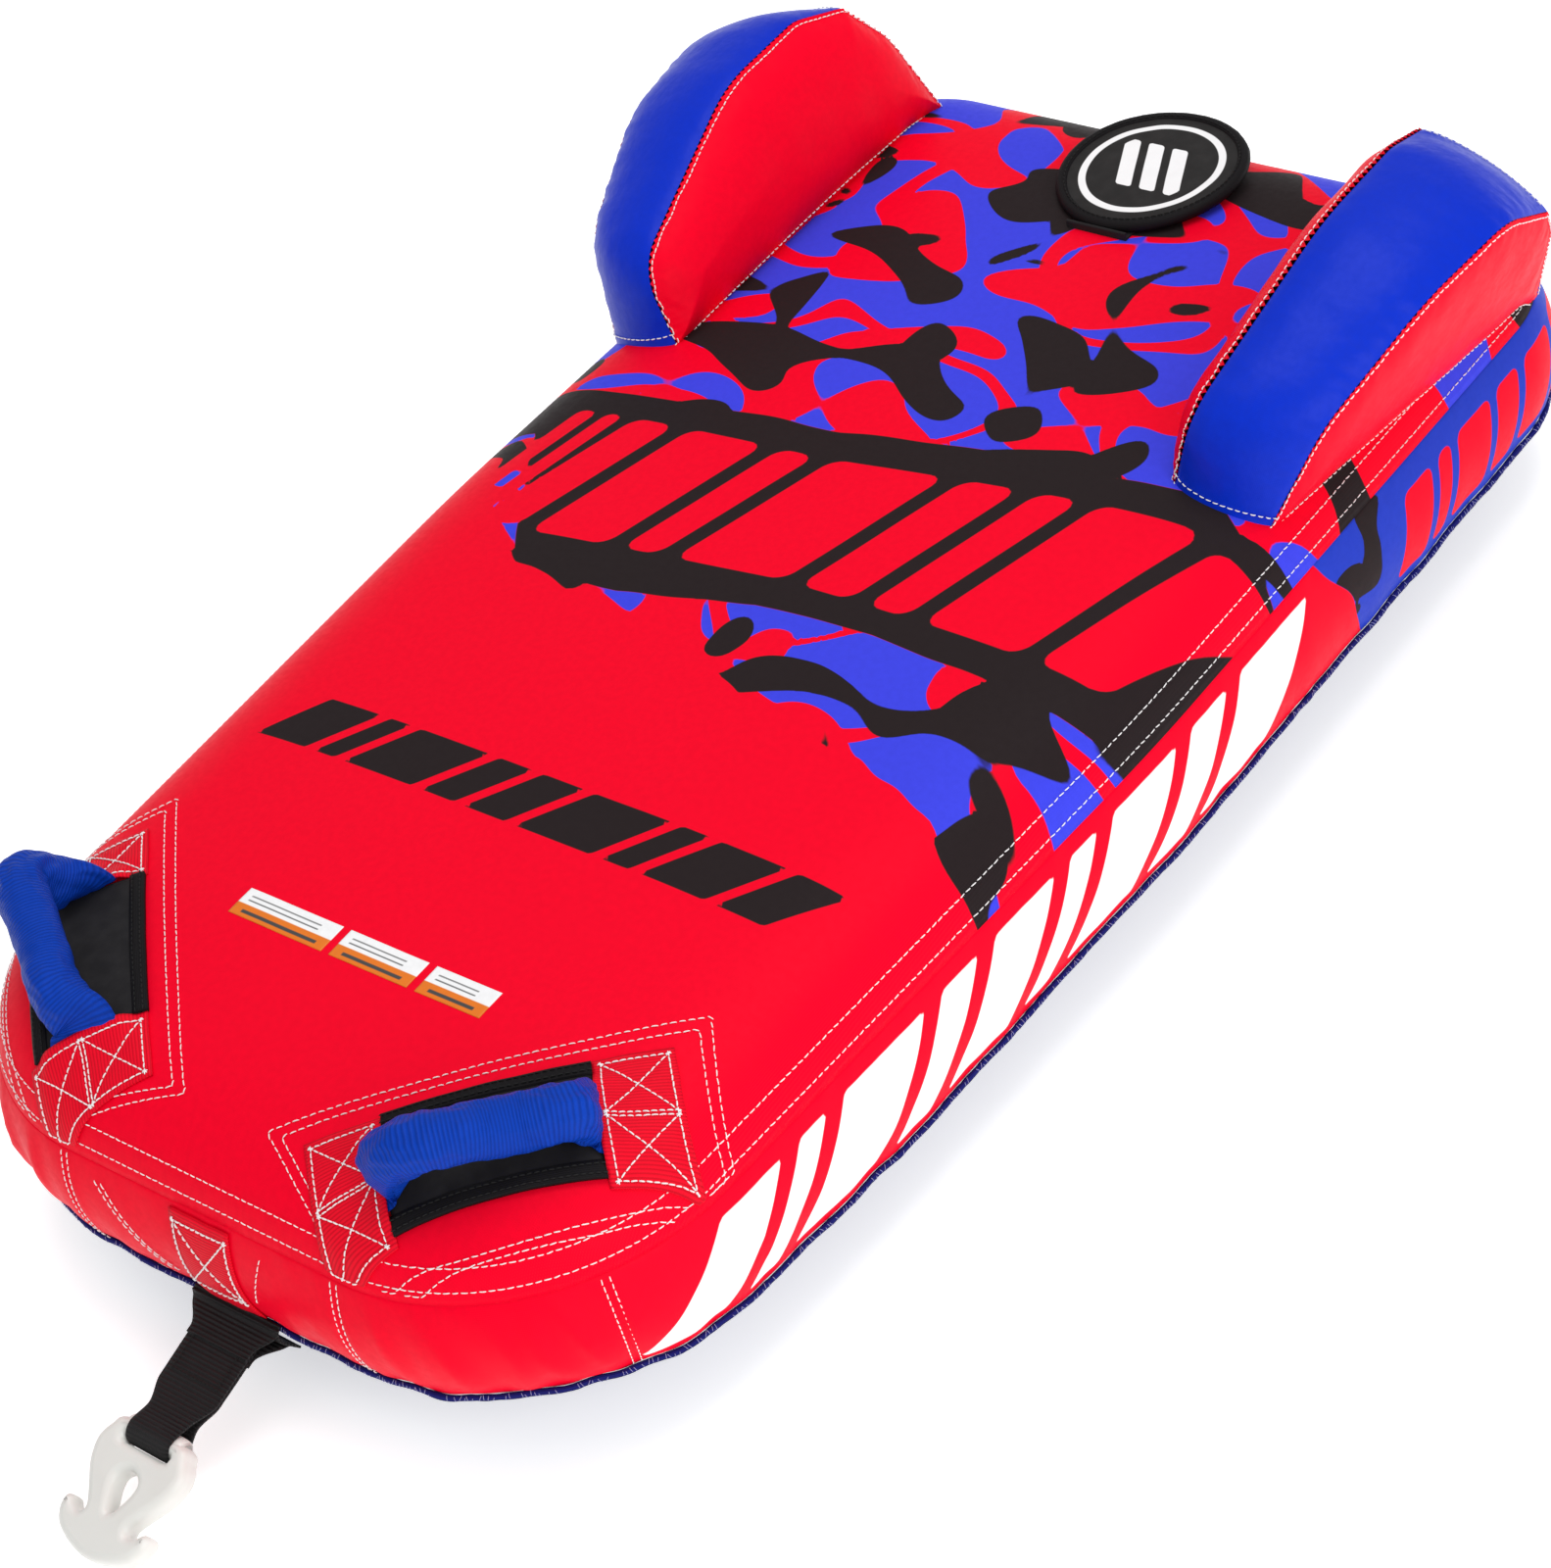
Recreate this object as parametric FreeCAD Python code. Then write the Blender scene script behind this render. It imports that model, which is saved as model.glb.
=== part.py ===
import FreeCAD, Part
import math
import os

# Towable tube: an inflated deck with a nylon cover over a PVC bladder, two inflated
# side wings, two padded handles, a tow strap with a quick hook, a covered inflation
# valve and a zipper for the bladder.
# Row frame, millimetres: nose towards -Y, +Z up, +X to the right as seen from the nose,
# origin at the middle of the flat bottom, on the ground.

V = FreeCAD.Vector

# ---- driving dimensions -------------------------------------------------------------
NOSE_Y = -568.0            # front edge of the seams
TAIL_Y = 538.0             # rear edge of the seams
NOSE_HALF_WIDTH = 272.0    # half width where the front edge meets the sides
MID_HALF_WIDTH = 300.0     # half width of the middle
TAIL_HALF_WIDTH = 296.0
NOSE_CORNER_R = 165.0
TAIL_CORNER_R = 95.0
MID_R = 1500.0
SMALLEST_CORNER_R = 12.0
BOTTOM_SEAM_Z = 63.0
TOP_SEAM_Z = 148.0

# Cross-section of the inflated body: how far outside the seam line, and how high.
BODY_PROFILE = [
    (-105.0, 0.0),
    (-76.0, 17.0),
    (-48.0, 38.0),
    (-22.0, 54.0),
    (0.0, BOTTOM_SEAM_Z),
    (8.0, 84.0),
    (10.0, 106.0),
    (8.0, 127.0),
    (0.0, TOP_SEAM_Z),
    (-10.0, 169.0),
    (-29.0, 185.0),
    (-56.0, 195.0),
    (-91.0, 200.0),
    (-150.0, 203.0),
    (-205.0, 204.0),
]

COVER_T = 1.2              # coated nylon cover
BLADDER_GAP = 0.3
BLADDER_T = 1.0
WEBBING_T = 1.6
LABEL_T = 0.4

WALL_JOINT_LEFT_X = -119.0     # upright joints between the wall panels
WALL_JOINT_NOSE_X = 113.0
WALL_JOINT_CORNER_Y = -498.0
WALL_JOINT_TAIL_X = 150.0

PIPING_R = 3.0
PIPING_OUT = 2.7
PIPING_DROP = 2.0

# Handles: a line between the two webbing patches of each one, in plan.
HANDLE_FRONT = (127.2, -520.7)
HANDLE_REAR = (220.8, -429.8)
HANDLE_LINE_UP = 12.0          # height of the swing line above the deck
HANDLE_CORE_R = 5.2
HANDLE_SLEEVE_R = 16.5
HANDLE_SLEEVE_T = 1.2
HANDLE_BEND_R = 20.0
HANDLE_LEAN_DEG = {"right": 34.0, "left": 40.0}
# corner points of each arch: along the line, and up from it
HANDLE_ARCH = {
    "right": [(14.0, 0.0), (13.0, 42.0), (117.0, 29.5), (116.0, 0.0)],
    "left": [(14.0, 0.0), (13.0, 29.5), (117.0, 42.0), (116.0, 0.0)],
}
HANDLE_TAPER = (3.0, 11.0)     # the sleeve narrows between these heights
PATCH_FRONT_BOX = (-46.0, 2.5, -43.0, 38.0)     # along the line, then across it
PATCH_REAR_BOX = (127.0, 175.0, -45.0, 38.0)
GUARD_BOX = (2.5, 127.0, -43.0, 32.0)
GUARD_T = 3.0
GUARD_BINDING_W = 9.0
GUARD_BINDING_T = 1.2

NOSE_PATCH_HALF_WIDTH = 26.0
NOSE_PATCH_Z = (70.0, 145.0)

STRAP_WIDTH = 50.8             # two-inch webbing
STRAP_T = 5.0                  # two layers sewn together
STRAP_TOP = (-585.0, 58.0)     # y, z of its swing line under the nose
LOOP_T = 2.6
LOOP_WIDTH = 36.0
WRAP_WIDTH = 74.0
WRAP_T = 2.2
# inner face of the wrap round the bottom seam, from above it to below: y, z
WRAP_FRONT = [(-573.6, 69.0), (-574.6, 64.0), (-574.6, 58.5)]
WRAP_UNDER = [(-569.5, 51.0), (-564.6, 43.5)]
WRAP_FRONT_DROP = 0.3          # how far the outer face sits below the inner one

HOOK_PIVOT_Y = -657.0          # middle of the hook's cross bar, inside the strap loop
HOOK_PIVOT_Z = 38.0
HOOK_TILT_DEG = 22.0
HOOK_T = 17.0
HOOK_SLOT = (20.5, 14.0)       # half width, and how far from the bar's middle it ends
HOOK_BAR_HALF = 24.0
# half outline of the hook: across, then forward from the bar's middle
HOOK_OUTLINE = [(0.0, 0.0), (24.0, 0.0), (34.0, 8.0), (37.0, 17.0), (33.0, 30.0),
                (18.0, 55.0), (26.0, 58.0), (34.0, 52.0), (36.0, 62.0), (20.0, 75.0),
                (0.0, 80.0)]
ROPE_EYE_R = 8.0
ROPE_EYE_AT = 32.0
ROPE_EYE_TIP = [(7.4, 35.0), (2.0, 50.0)]        # the eye narrows forwards
LOOP_PLAY = 0.4                # room between the round bar and the loop

WING_INNER_BASE_X = 212.0      # inner face at deck height
WING_INNER_SLOPE = 0.33
WING_INNER_REF_Z = 200.0
WING_OUTER_REF = (275.6, 171.9, 176.6)
WING_OUTER_SLOPE_Y = 0.086
WING_OUTER_SLOPE_Z = 0.42
WING_FOOT_GAP = 0.3
# corners of the two faces as seen from the side, front to back: y, z, corner radius
WING_INNER = [(163.0, 120.0, 0.0), (176.0, 256.0, 40.0), (318.0, 312.0, 140.0),
              (400.0, 314.0, 40.0), (445.0, 298.0, 3.0), (471.0, 260.0, 60.0),
              (503.0, 120.0, 0.0)]
WING_OUTER = [(146.0, 120.0, 0.0), (208.0, 244.0, 50.0), (300.0, 284.0, 140.0),
              (385.0, 288.0, 60.0), (446.0, 252.0, 3.0), (464.0, 222.0, 30.0),
              (486.0, 120.0, 0.0)]
WING_BULGE = 11.0              # swell of the gusset half-way across
WING_APEX = 4                  # corner where the gusset ends and the rear panel starts
NECK_AT = (252.0, 330.0)
NECK_R = 14.0
NECK_BORE_R = 12.0

VALVE_AT = (8.0, 451.0)
VALVE_HOLE_R = 46.0
VALVE_TUBE_R = 30.0
VALVE_TUBE_BORE_R = 26.0
VALVE_DEPTH = 26.0
VALVE_RIM = 3.0
INSERT_DEPTH = 22.0
INSERT_WALL = 3.0
INSERT_FLOOR = 4.0
INSERT_PORT_R = 6.5            # four air ports
INSERT_PORT_AT = 12.0
DIAPHRAGM_T = 1.9
CAP_T = 1.8
CAP_PLUG_WALL = 2.2
CAP_RECESS_R = 18.0
CAP_GRIP = (32.0, 4.0)         # length and width of the bar across the recess
TRIM_W = 6.0
TRIM_T = 1.0
COVER_DISC_R = 69.0
COVER_DISC_T = 5.0
COVER_DISC_LIFT = 6.0          # underside above the deck
COVER_HINGE_AHEAD = 71.0       # swing line ahead of the valve's middle
COVER_HINGE_LIFT = 8.6         # swing line above the deck at the valve
COVER_BEAD_R = 1.3
COVER_BINDING_W = 5.0
COVER_BINDING_PROUD = 0.4
COVER_TAPE_R = (44.0, 56.0)    # ring of hook tape under the flap
COVER_TAPE_T = 1.0
COVER_TAB = (50.0, 14.0, 1.4)  # width, length under the flap, thickness

BAFFLE_X = (-180.0, -90.0, 0.0, 90.0, 180.0)
BAFFLE_T = 0.8
BAFFLE_HALF_LENGTH = 400.0

ZIP_HALF_LENGTH = 180.0
ZIP_Z = 106.0
ZIP_TAPE_H = 28.0
ZIP_TAPE_T = 0.8
ZIP_PITCH = 6.0
ZIP_TOOTH = (4.2, 1.6, 6.0)    # along the zip, proud of the tape, and high
ZIP_SLIDER = (12.0, 2.4, 12.0)
ZIP_PULL = (8.0, 1.6, 29.3)
ZIP_PIN_R = 0.8

LABEL_Y = (-404.0, -382.0)
LABEL_X = [(-109.0, -28.5), (-22.0, 43.5), (50.0, 103.0)]

GROMMET_AT = [(-193.0, 106.0), (193.0, 106.0)]   # x, z on the rear wall
GROMMET_R = 9.0
GROMMET_BORE_R = 5.0


# ---- general helpers ----------------------------------------------------------------
def rounded_wire(corners, radii, inset=0.0):
    """Closed planar wire through corners with tangent arcs, moved inwards by inset.

    The corners run counter-clockwise about the plane's normal. A radius of 0 keeps
    the corner sharp.
    """
    count = len(corners)
    normal = V(0, 0, 0)
    for i in range(1, count - 1):
        normal = normal + (corners[i] - corners[0]).cross(corners[i + 1] - corners[0])
    normal.normalize()
    directions = []
    for i in range(count):
        step = corners[(i + 1) % count] - corners[i]
        directions.append(step.normalize())
    moved = []
    for i in range(count):
        before, after = directions[i - 1], directions[i]
        inward = normal.cross(before) + normal.cross(after)
        scale = inset / (1.0 + before.dot(after))
        moved.append(corners[i] + inward * scale)
    starts, ends, arcs = [], [], []
    for i in range(count):
        before, after = directions[i - 1], directions[i]
        radius = radii[i]
        if radius > 0.0:
            radius = max(radius - inset, min(radius, SMALLEST_CORNER_R))
        half_turn = before.getAngle(after) / 2.0
        reach = radius * math.tan(half_turn)
        start, end = moved[i] - before * reach, moved[i] + after * reach
        starts.append(start)
        ends.append(end)
        if radius > 0.0:
            towards = (after - before).normalize()
            middle = moved[i] + towards * (radius / math.cos(half_turn) - radius)
            arcs.append(Part.Arc(start, middle, end).toShape())
        else:
            arcs.append(None)
    edges = []
    for i in range(count):
        if arcs[i] is not None:
            edges.append(arcs[i])
        edges.append(Part.makeLine(ends[i], starts[(i + 1) % count]))
    return Part.Wire(edges)


def box(x0, x1, y0, y1, z0, z1):
    return Part.makeBox(x1 - x0, y1 - y0, z1 - z0, V(x0, y0, z0))


def upright(x, y, z0, z1, radius):
    return Part.makeCylinder(radius, z1 - z0, V(x, y, z0))


def mirrored(shape):
    return shape.mirror(V(0, 0, 0), V(1, 0, 0))


def prism(points, direction):
    """Solid swept straight from a closed polygon."""
    return Part.Face(Part.makePolygon(points + [points[0]])).extrude(direction)


def pipe(wire, start, direction, radius):
    """Round bar along a wire of tangent lines and arcs."""
    section = Part.Wire(Part.makeCircle(radius, start, direction))
    return wire.makePipeShell([section], True, False)


def solids_only(shape):
    """The shape as a plain solid, or as a compound of its separate solids."""
    if len(shape.Solids) == 1:
        return shape.Solids[0]
    return Part.makeCompound(shape.Solids)


# ---- the inflated body --------------------------------------------------------------
BODY_CORNERS = [
    (-NOSE_HALF_WIDTH, NOSE_Y, NOSE_CORNER_R),
    (NOSE_HALF_WIDTH, NOSE_Y, NOSE_CORNER_R),
    (MID_HALF_WIDTH, 0.0, MID_R),
    (TAIL_HALF_WIDTH, TAIL_Y, TAIL_CORNER_R),
    (-TAIL_HALF_WIDTH, TAIL_Y, TAIL_CORNER_R),
    (-MID_HALF_WIDTH, 0.0, MID_R),
]


def body_outline(out, z):
    """Plan outline of the body, 'out' outside the seam line, at height z."""
    corners = [V(x, y, z) for x, y, _ in BODY_CORNERS]
    radii = [radius for _, _, radius in BODY_CORNERS]
    return rounded_wire(corners, radii, -out)


def offset_profile(grow):
    """The body profile moved outwards by grow, square to its own surface."""
    count = len(BODY_PROFILE)
    moved = []
    for i in range(count):
        out, z = BODY_PROFILE[i]
        before = (1.0, 0.0) if i == 0 else step_direction(i - 1)
        after = (-1.0, 0.0) if i == count - 1 else step_direction(i)
        normal_out = before[1] + after[1]
        normal_z = -before[0] - after[0]
        scale = grow / (1.0 + before[0] * after[0] + before[1] * after[1])
        moved.append((out + normal_out * scale, z + normal_z * scale))
    return moved


def step_direction(i):
    out0, z0 = BODY_PROFILE[i]
    out1, z1 = BODY_PROFILE[i + 1]
    length = math.hypot(out1 - out0, z1 - z0)
    return (out1 - out0) / length, (z1 - z0) / length


def body(grow):
    """The whole inflated body, grown by 'grow' in every direction."""
    wires = [body_outline(out, z) for out, z in offset_profile(grow)]
    return Part.makeLoft(wires, True, True)


def seam_distance(x, y):
    """How far inside the seam line a point of the plan is."""
    wire = body_outline(0.0, 0.0)
    return wire.distToShape(Part.Vertex(x, y, 0.0))[0]


def deck_height(x, y):
    """Height of the deck's outer surface over a point of the plan."""
    inside = seam_distance(x, y)
    upper = [p for p in BODY_PROFILE if p[1] >= TOP_SEAM_Z]
    height = upper[-1][1]
    for (out0, z0), (out1, z1) in zip(upper, upper[1:]):
        if -out0 <= inside <= -out1:
            height = z0 + (inside + out0) / (out0 - out1) * (z1 - z0)
    return height


OUTER = body(0.0)
COVER_INSIDE = body(-COVER_T)
BLADDER_OUTSIDE = body(-COVER_T - BLADDER_GAP)
BLADDER_INSIDE = body(-COVER_T - BLADDER_GAP - BLADDER_T)
FAR = 2000.0


def on_deck(prism_solid, low, high):
    """Layer of the deck surface between two heights above it, inside a prism."""
    return body(high).cut(body(low) if low > 0.0 else OUTER).common(prism_solid)


# ---- cover --------------------------------------------------------------------------
def cover_panels():
    shell = OUTER.cut(COVER_INSIDE)
    deck = shell.common(box(-FAR, FAR, -FAR, FAR, TOP_SEAM_Z, FAR))
    for side in (1, -1):
        deck = deck.cut(upright(side * NECK_AT[0], NECK_AT[1], 150.0, 230.0, NECK_R + 0.3))
    deck = deck.cut(upright(*VALVE_AT, 150.0, 240.0, VALVE_HOLE_R))
    bottom = shell.common(box(-FAR, FAR, -FAR, FAR, -FAR, BOTTOM_SEAM_Z))
    wall = shell.common(box(-FAR, FAR, -FAR, FAR, BOTTOM_SEAM_Z, TOP_SEAM_Z))
    z0, z1 = BOTTOM_SEAM_Z, TOP_SEAM_Z
    nose = wall.common(box(WALL_JOINT_LEFT_X, WALL_JOINT_NOSE_X, -FAR, 0.0, z0, z1))
    corner = wall.common(box(WALL_JOINT_NOSE_X, FAR, -FAR, WALL_JOINT_CORNER_Y, z0, z1))
    tail = wall.common(box(-WALL_JOINT_TAIL_X, WALL_JOINT_TAIL_X, 0.0, FAR, z0, z1))
    right = wall.common(box(0.0, FAR, WALL_JOINT_CORNER_Y, FAR, z0, z1)).cut(tail)
    left = wall.common(box(-FAR, 0.0, -FAR, FAR, z0, z1)).cut(tail).cut(nose)
    holes = [Part.makeCylinder(GROMMET_BORE_R + 0.3, 60.0, V(x, TAIL_Y - 30.0, z), V(0, 1, 0))
             for x, z in GROMMET_AT]
    left = left.cut(holes[0])
    right = right.cut(holes[1])
    return {"deck_panel": deck, "bottom_panel": bottom, "nose_wall_panel": nose,
            "corner_wall_panel": corner, "side_wall_right": right,
            "side_wall_left": left, "rear_wall_panel": tail}


def bottom_piping():
    path = body_outline(PIPING_OUT, BOTTOM_SEAM_Z - PIPING_DROP)
    first = path.Edges[0]
    start = first.valueAt(first.FirstParameter)
    return pipe(path, start, first.tangentAt(first.FirstParameter), PIPING_R)


def drain_grommets():
    """Metal eyelets in the rear wall that let water out of the cover."""
    rings = []
    for x, z in GROMMET_AT:
        wall_y = TAIL_Y + 10.0
        flange = Part.makeCylinder(GROMMET_R, 1.0, V(x, wall_y + 0.1, z), V(0, 1, 0))
        barrel = Part.makeCylinder(GROMMET_BORE_R, 1.6, V(x, wall_y - 1.4, z), V(0, 1, 0))
        bore = Part.makeCylinder(GROMMET_BORE_R - 1.2, 20.0, V(x, wall_y - 10.0, z), V(0, 1, 0))
        rings.append(flange.fuse(barrel).cut(bore))
    return Part.makeCompound(rings)


# ---- bladder ------------------------------------------------------------------------
def bladder():
    shell = BLADDER_OUTSIDE.cut(BLADDER_INSIDE)
    for side in (1, -1):
        shell = shell.cut(upright(side * NECK_AT[0], NECK_AT[1], 150.0, 230.0, NECK_R))
    return shell.cut(upright(*VALVE_AT, 150.0, 240.0, VALVE_TUBE_R))


def baffles():
    """Upright webs welded between the bladder's top and bottom, which keep it flat."""
    webs = []
    for x in BAFFLE_X:
        slab = box(x - BAFFLE_T / 2, x + BAFFLE_T / 2,
                   -BAFFLE_HALF_LENGTH, BAFFLE_HALF_LENGTH, -10.0, 260.0)
        webs.append(slab.common(BLADDER_INSIDE))
    return Part.makeCompound(webs)


# ---- wings --------------------------------------------------------------------------
def wing_point_inner(y, z):
    return V(WING_INNER_BASE_X + WING_INNER_SLOPE * (z - WING_INNER_REF_Z), y, z)


def wing_point_outer(y, z):
    x0, y0, z0 = WING_OUTER_REF
    return V(x0 + WING_OUTER_SLOPE_Y * (y - y0) + WING_OUTER_SLOPE_Z * (z - z0), y, z)


def wing_point_middle(y, z):
    return (wing_point_inner(y, z) + wing_point_outer(y, z)) * 0.5


def wing_wire(corners, place, inset):
    points = [place(y, z) for y, z, _ in reversed(corners)]
    radii = [radius for _, _, radius in reversed(corners)]
    return rounded_wire(points, radii, inset)


def wing_block(inset):
    middle = [tuple((a + b) / 2 for a, b in zip(one, other))
              for one, other in zip(WING_INNER, WING_OUTER)]
    wires = [wing_wire(WING_INNER, wing_point_inner, inset),
             wing_wire(middle, wing_point_middle, inset - WING_BULGE),
             wing_wire(WING_OUTER, wing_point_outer, inset)]
    return Part.makeLoft(wires, True, True)


def wing_slab(place, outward, depth):
    """Everything on the outer side of a face, down to a depth below it."""
    a, b, c = place(0.0, 0.0), place(1.0, 0.0), place(0.0, 1.0)
    normal = (b - a).cross(c - a).normalize()
    if normal.x * outward < 0.0:
        normal = normal * -1.0
    middle = place(330.0, 220.0) - normal * depth
    slab = Part.makeBox(800.0, 800.0, 60.0, V(-400.0, -400.0, 0.0))
    slab.Placement = FreeCAD.Placement(middle, FreeCAD.Rotation(V(0, 0, 1), normal))
    return slab


def right_wing():
    foot = body(WING_FOOT_GAP)
    block = wing_block(0.0).cut(foot)
    skin_in = wing_slab(wing_point_inner, -1.0, COVER_T)
    skin_out = wing_slab(wing_point_outer, 1.0, COVER_T)
    inner = block.common(skin_in)
    outer = block.common(skin_out)
    ring = block.cut(skin_in).cut(skin_out).cut(wing_block(COVER_T))
    y, z, _ = WING_INNER[WING_APEX]
    apex_in = wing_point_inner(y, z)
    y, z, _ = WING_OUTER[WING_APEX]
    apex_out = wing_point_outer(y, z)
    root = (apex_in + apex_out) * 0.5 + V(0.0, -20.0, -60.0)
    along = (apex_out - apex_in).normalize()
    behind = along.cross(apex_in - root).normalize()
    if behind.y < 0.0:
        behind = behind * -1.0
    wedge = Part.makeBox(600.0, 600.0, 300.0, V(-300.0, -300.0, 0.0))
    wedge.Placement = FreeCAD.Placement(apex_in, FreeCAD.Rotation(V(0, 0, 1), behind))
    depth = COVER_T + BLADDER_GAP
    outside = wing_block(depth).cut(body(depth))
    outside = outside.cut(wing_slab(wing_point_inner, -1.0, depth))
    outside = outside.cut(wing_slab(wing_point_outer, 1.0, depth))
    depth += BLADDER_T
    inside = wing_block(depth).cut(body(depth))
    inside = inside.cut(wing_slab(wing_point_inner, -1.0, depth))
    inside = inside.cut(wing_slab(wing_point_outer, 1.0, depth))
    neck = upright(*NECK_AT, 176.0, 222.0, NECK_R)
    air = outside.cut(inside).cut(neck)
    bore = upright(*NECK_AT, 170.0, 230.0, NECK_BORE_R)
    return {"wing_inner_panel": inner, "wing_outer_panel": outer,
            "wing_gusset": ring.cut(wedge), "wing_rear_panel": ring.common(wedge),
            "wing_bladder": air, "wing_air_neck": neck.cut(bore)}


# ---- handles ------------------------------------------------------------------------
def handle_frame():
    """Start point in plan, unit vectors along the handle and out to the corner."""
    x0, y0 = HANDLE_FRONT
    x1, y1 = HANDLE_REAR
    length = math.hypot(x1 - x0, y1 - y0)
    along = V((x1 - x0) / length, (y1 - y0) / length, 0.0)
    outward = V(along.y, -along.x, 0.0)
    return V(x0, y0, 0.0), along, outward


def plan_prism(span):
    """Upright prism over a rectangle given along and across the handle's line."""
    start, along, outward = handle_frame()
    t0, t1, v0, v1 = span
    points = [start + along * t + outward * v + V(0, 0, TOP_SEAM_Z + 0.5)
              for t, v in ((t0, v0), (t1, v0), (t1, v1), (t0, v1))]
    return prism(points, V(0, 0, 120.0))


def swing_line():
    """Both ends of the right handle's swing line, above the two patch edges."""
    start, along, _ = handle_frame()
    ends = []
    for t in (0.0, 129.0):
        plan = start + along * t
        ends.append(V(plan.x, plan.y, deck_height(plan.x, plan.y) + HANDLE_LINE_UP))
    return ends


def handle(side):
    first, last = swing_line()
    along = (last - first).normalize()
    level_out = V(along.y, -along.x, 0.0).normalize()
    square_up = level_out.cross(along) * -1.0
    if square_up.z < 0.0:
        square_up = square_up * -1.0
    lean = math.radians(HANDLE_LEAN_DEG[side])
    up = square_up * math.cos(lean) + level_out * math.sin(lean)
    points = [first + along * t + up * w for t, w in HANDLE_ARCH[side]]
    core = bent_tube(points, HANDLE_CORE_R, 0.0)
    for end in (points[0], points[-1]):
        core = core.fuse(Part.makeSphere(HANDLE_CORE_R, end))
    leg_in = (points[1] - points[0]).normalize()
    leg_out = (points[2] - points[3]).normalize()
    low, high = HANDLE_TAPER
    trimmed = [points[0] + leg_in * high, points[1], points[2], points[3] + leg_out * high]
    inside_r = HANDLE_SLEEVE_R - HANDLE_SLEEVE_T
    sleeve = bent_tube(trimmed, HANDLE_SLEEVE_R, inside_r)
    for base, leg in ((points[0], leg_in), (points[3], leg_out)):
        mouth_r = HANDLE_CORE_R + 0.4
        tip = base + leg * low
        cuff = Part.makeCone(mouth_r + HANDLE_SLEEVE_T, HANDLE_SLEEVE_R, high - low, tip, leg)
        cuff = cuff.cut(Part.makeCone(mouth_r, inside_r, high - low, tip, leg))
        sleeve = sleeve.fuse(cuff)
    foam = bent_tube(trimmed, inside_r - 0.1, HANDLE_CORE_R + 0.1)
    return core, foam, sleeve


def ring_face(centre, direction, outer_r, inner_r):
    """Flat disc, or ring where inner_r isn't 0, square to a direction."""
    wires = [Part.Wire(Part.makeCircle(outer_r, centre, direction))]
    if inner_r > 0.0:
        wires.append(Part.Wire(Part.makeCircle(inner_r, centre, direction)))
    return Part.Face(wires, "Part::FaceMakerBullseye")


def bent_tube(points, outer_r, inner_r):
    """Tube or bar of straight runs joined by round bends."""
    pieces = []
    cursor = points[0]
    for before, corner, after in zip(points, points[1:], points[2:]):
        a = (corner - before).normalize()
        b = (after - corner).normalize()
        turn = a.getAngle(b)
        reach = HANDLE_BEND_R * math.tan(turn / 2.0)
        start = corner - a * reach
        towards = (b - a).normalize()
        centre = corner + towards * (HANDLE_BEND_R / math.cos(turn / 2.0))
        face = ring_face(cursor, a, outer_r, inner_r)
        pieces.append(face.extrude(start - cursor))
        bend = ring_face(start, a, outer_r, inner_r)
        pieces.append(bend.revolve(centre, a.cross(b), math.degrees(turn)))
        cursor = corner + b * reach
    last = (points[-1] - points[-2]).normalize()
    face = ring_face(cursor, last, outer_r, inner_r)
    pieces.append(face.extrude(points[-1] - cursor))
    return pieces[0].fuse(pieces[1:])


def handle_mounting():
    """Webbing patches and the padded guard under the right handle."""
    t0, t1, v0, v1 = GUARD_BOX
    width = GUARD_BINDING_W
    edges = []
    for low, high in ((v0, v0 + width), (v1 - width, v1)):
        strip = plan_prism((t0, t1, low, high))
        edges.append(on_deck(strip, GUARD_T, GUARD_T + GUARD_BINDING_T))
    return {"handle_patch_front": on_deck(plan_prism(PATCH_FRONT_BOX), 0.0, WEBBING_T),
            "handle_patch_rear": on_deck(plan_prism(PATCH_REAR_BOX), 0.0, WEBBING_T),
            "knuckle_guard": on_deck(plan_prism(GUARD_BOX), 0.0, GUARD_T),
            "knuckle_guard_binding": Part.makeCompound([solids_only(e) for e in edges])}


# ---- tow gear -----------------------------------------------------------------------
def nose_patch():
    z0, z1 = NOSE_PATCH_Z
    half = NOSE_PATCH_HALF_WIDTH
    block = box(-half, half, NOSE_Y - 40.0, NOSE_Y + 10.0, z0, z1)
    return body(WEBBING_T).cut(OUTER).common(block)


def tow_wrap():
    """Webbing folded round the bottom seam of the nose, holding the tow strap."""
    slant = WRAP_T * 0.8
    outer = [(y - WRAP_T, z - WRAP_FRONT_DROP) for y, z in WRAP_FRONT]
    outer += [(y - slant, z - slant) for y, z in WRAP_UNDER]
    points = [V(-WRAP_WIDTH / 2, y, z) for y, z in WRAP_FRONT + WRAP_UNDER + outer[::-1]]
    return prism(points, V(WRAP_WIDTH, 0, 0))


def hook_directions():
    tilt = math.radians(HOOK_TILT_DEG)
    forward = V(0.0, -math.cos(tilt), -math.sin(tilt))
    normal = V(0.0, -math.sin(tilt), math.cos(tilt))
    return V(0.0, HOOK_PIVOT_Y, HOOK_PIVOT_Z), forward, normal


def cross_cylinder(radius, half_width):
    """Cylinder across the object on the hook's swing axis."""
    start = V(-half_width, HOOK_PIVOT_Y, HOOK_PIVOT_Z)
    return Part.makeCylinder(radius, 2 * half_width, start, V(1, 0, 0))


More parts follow.
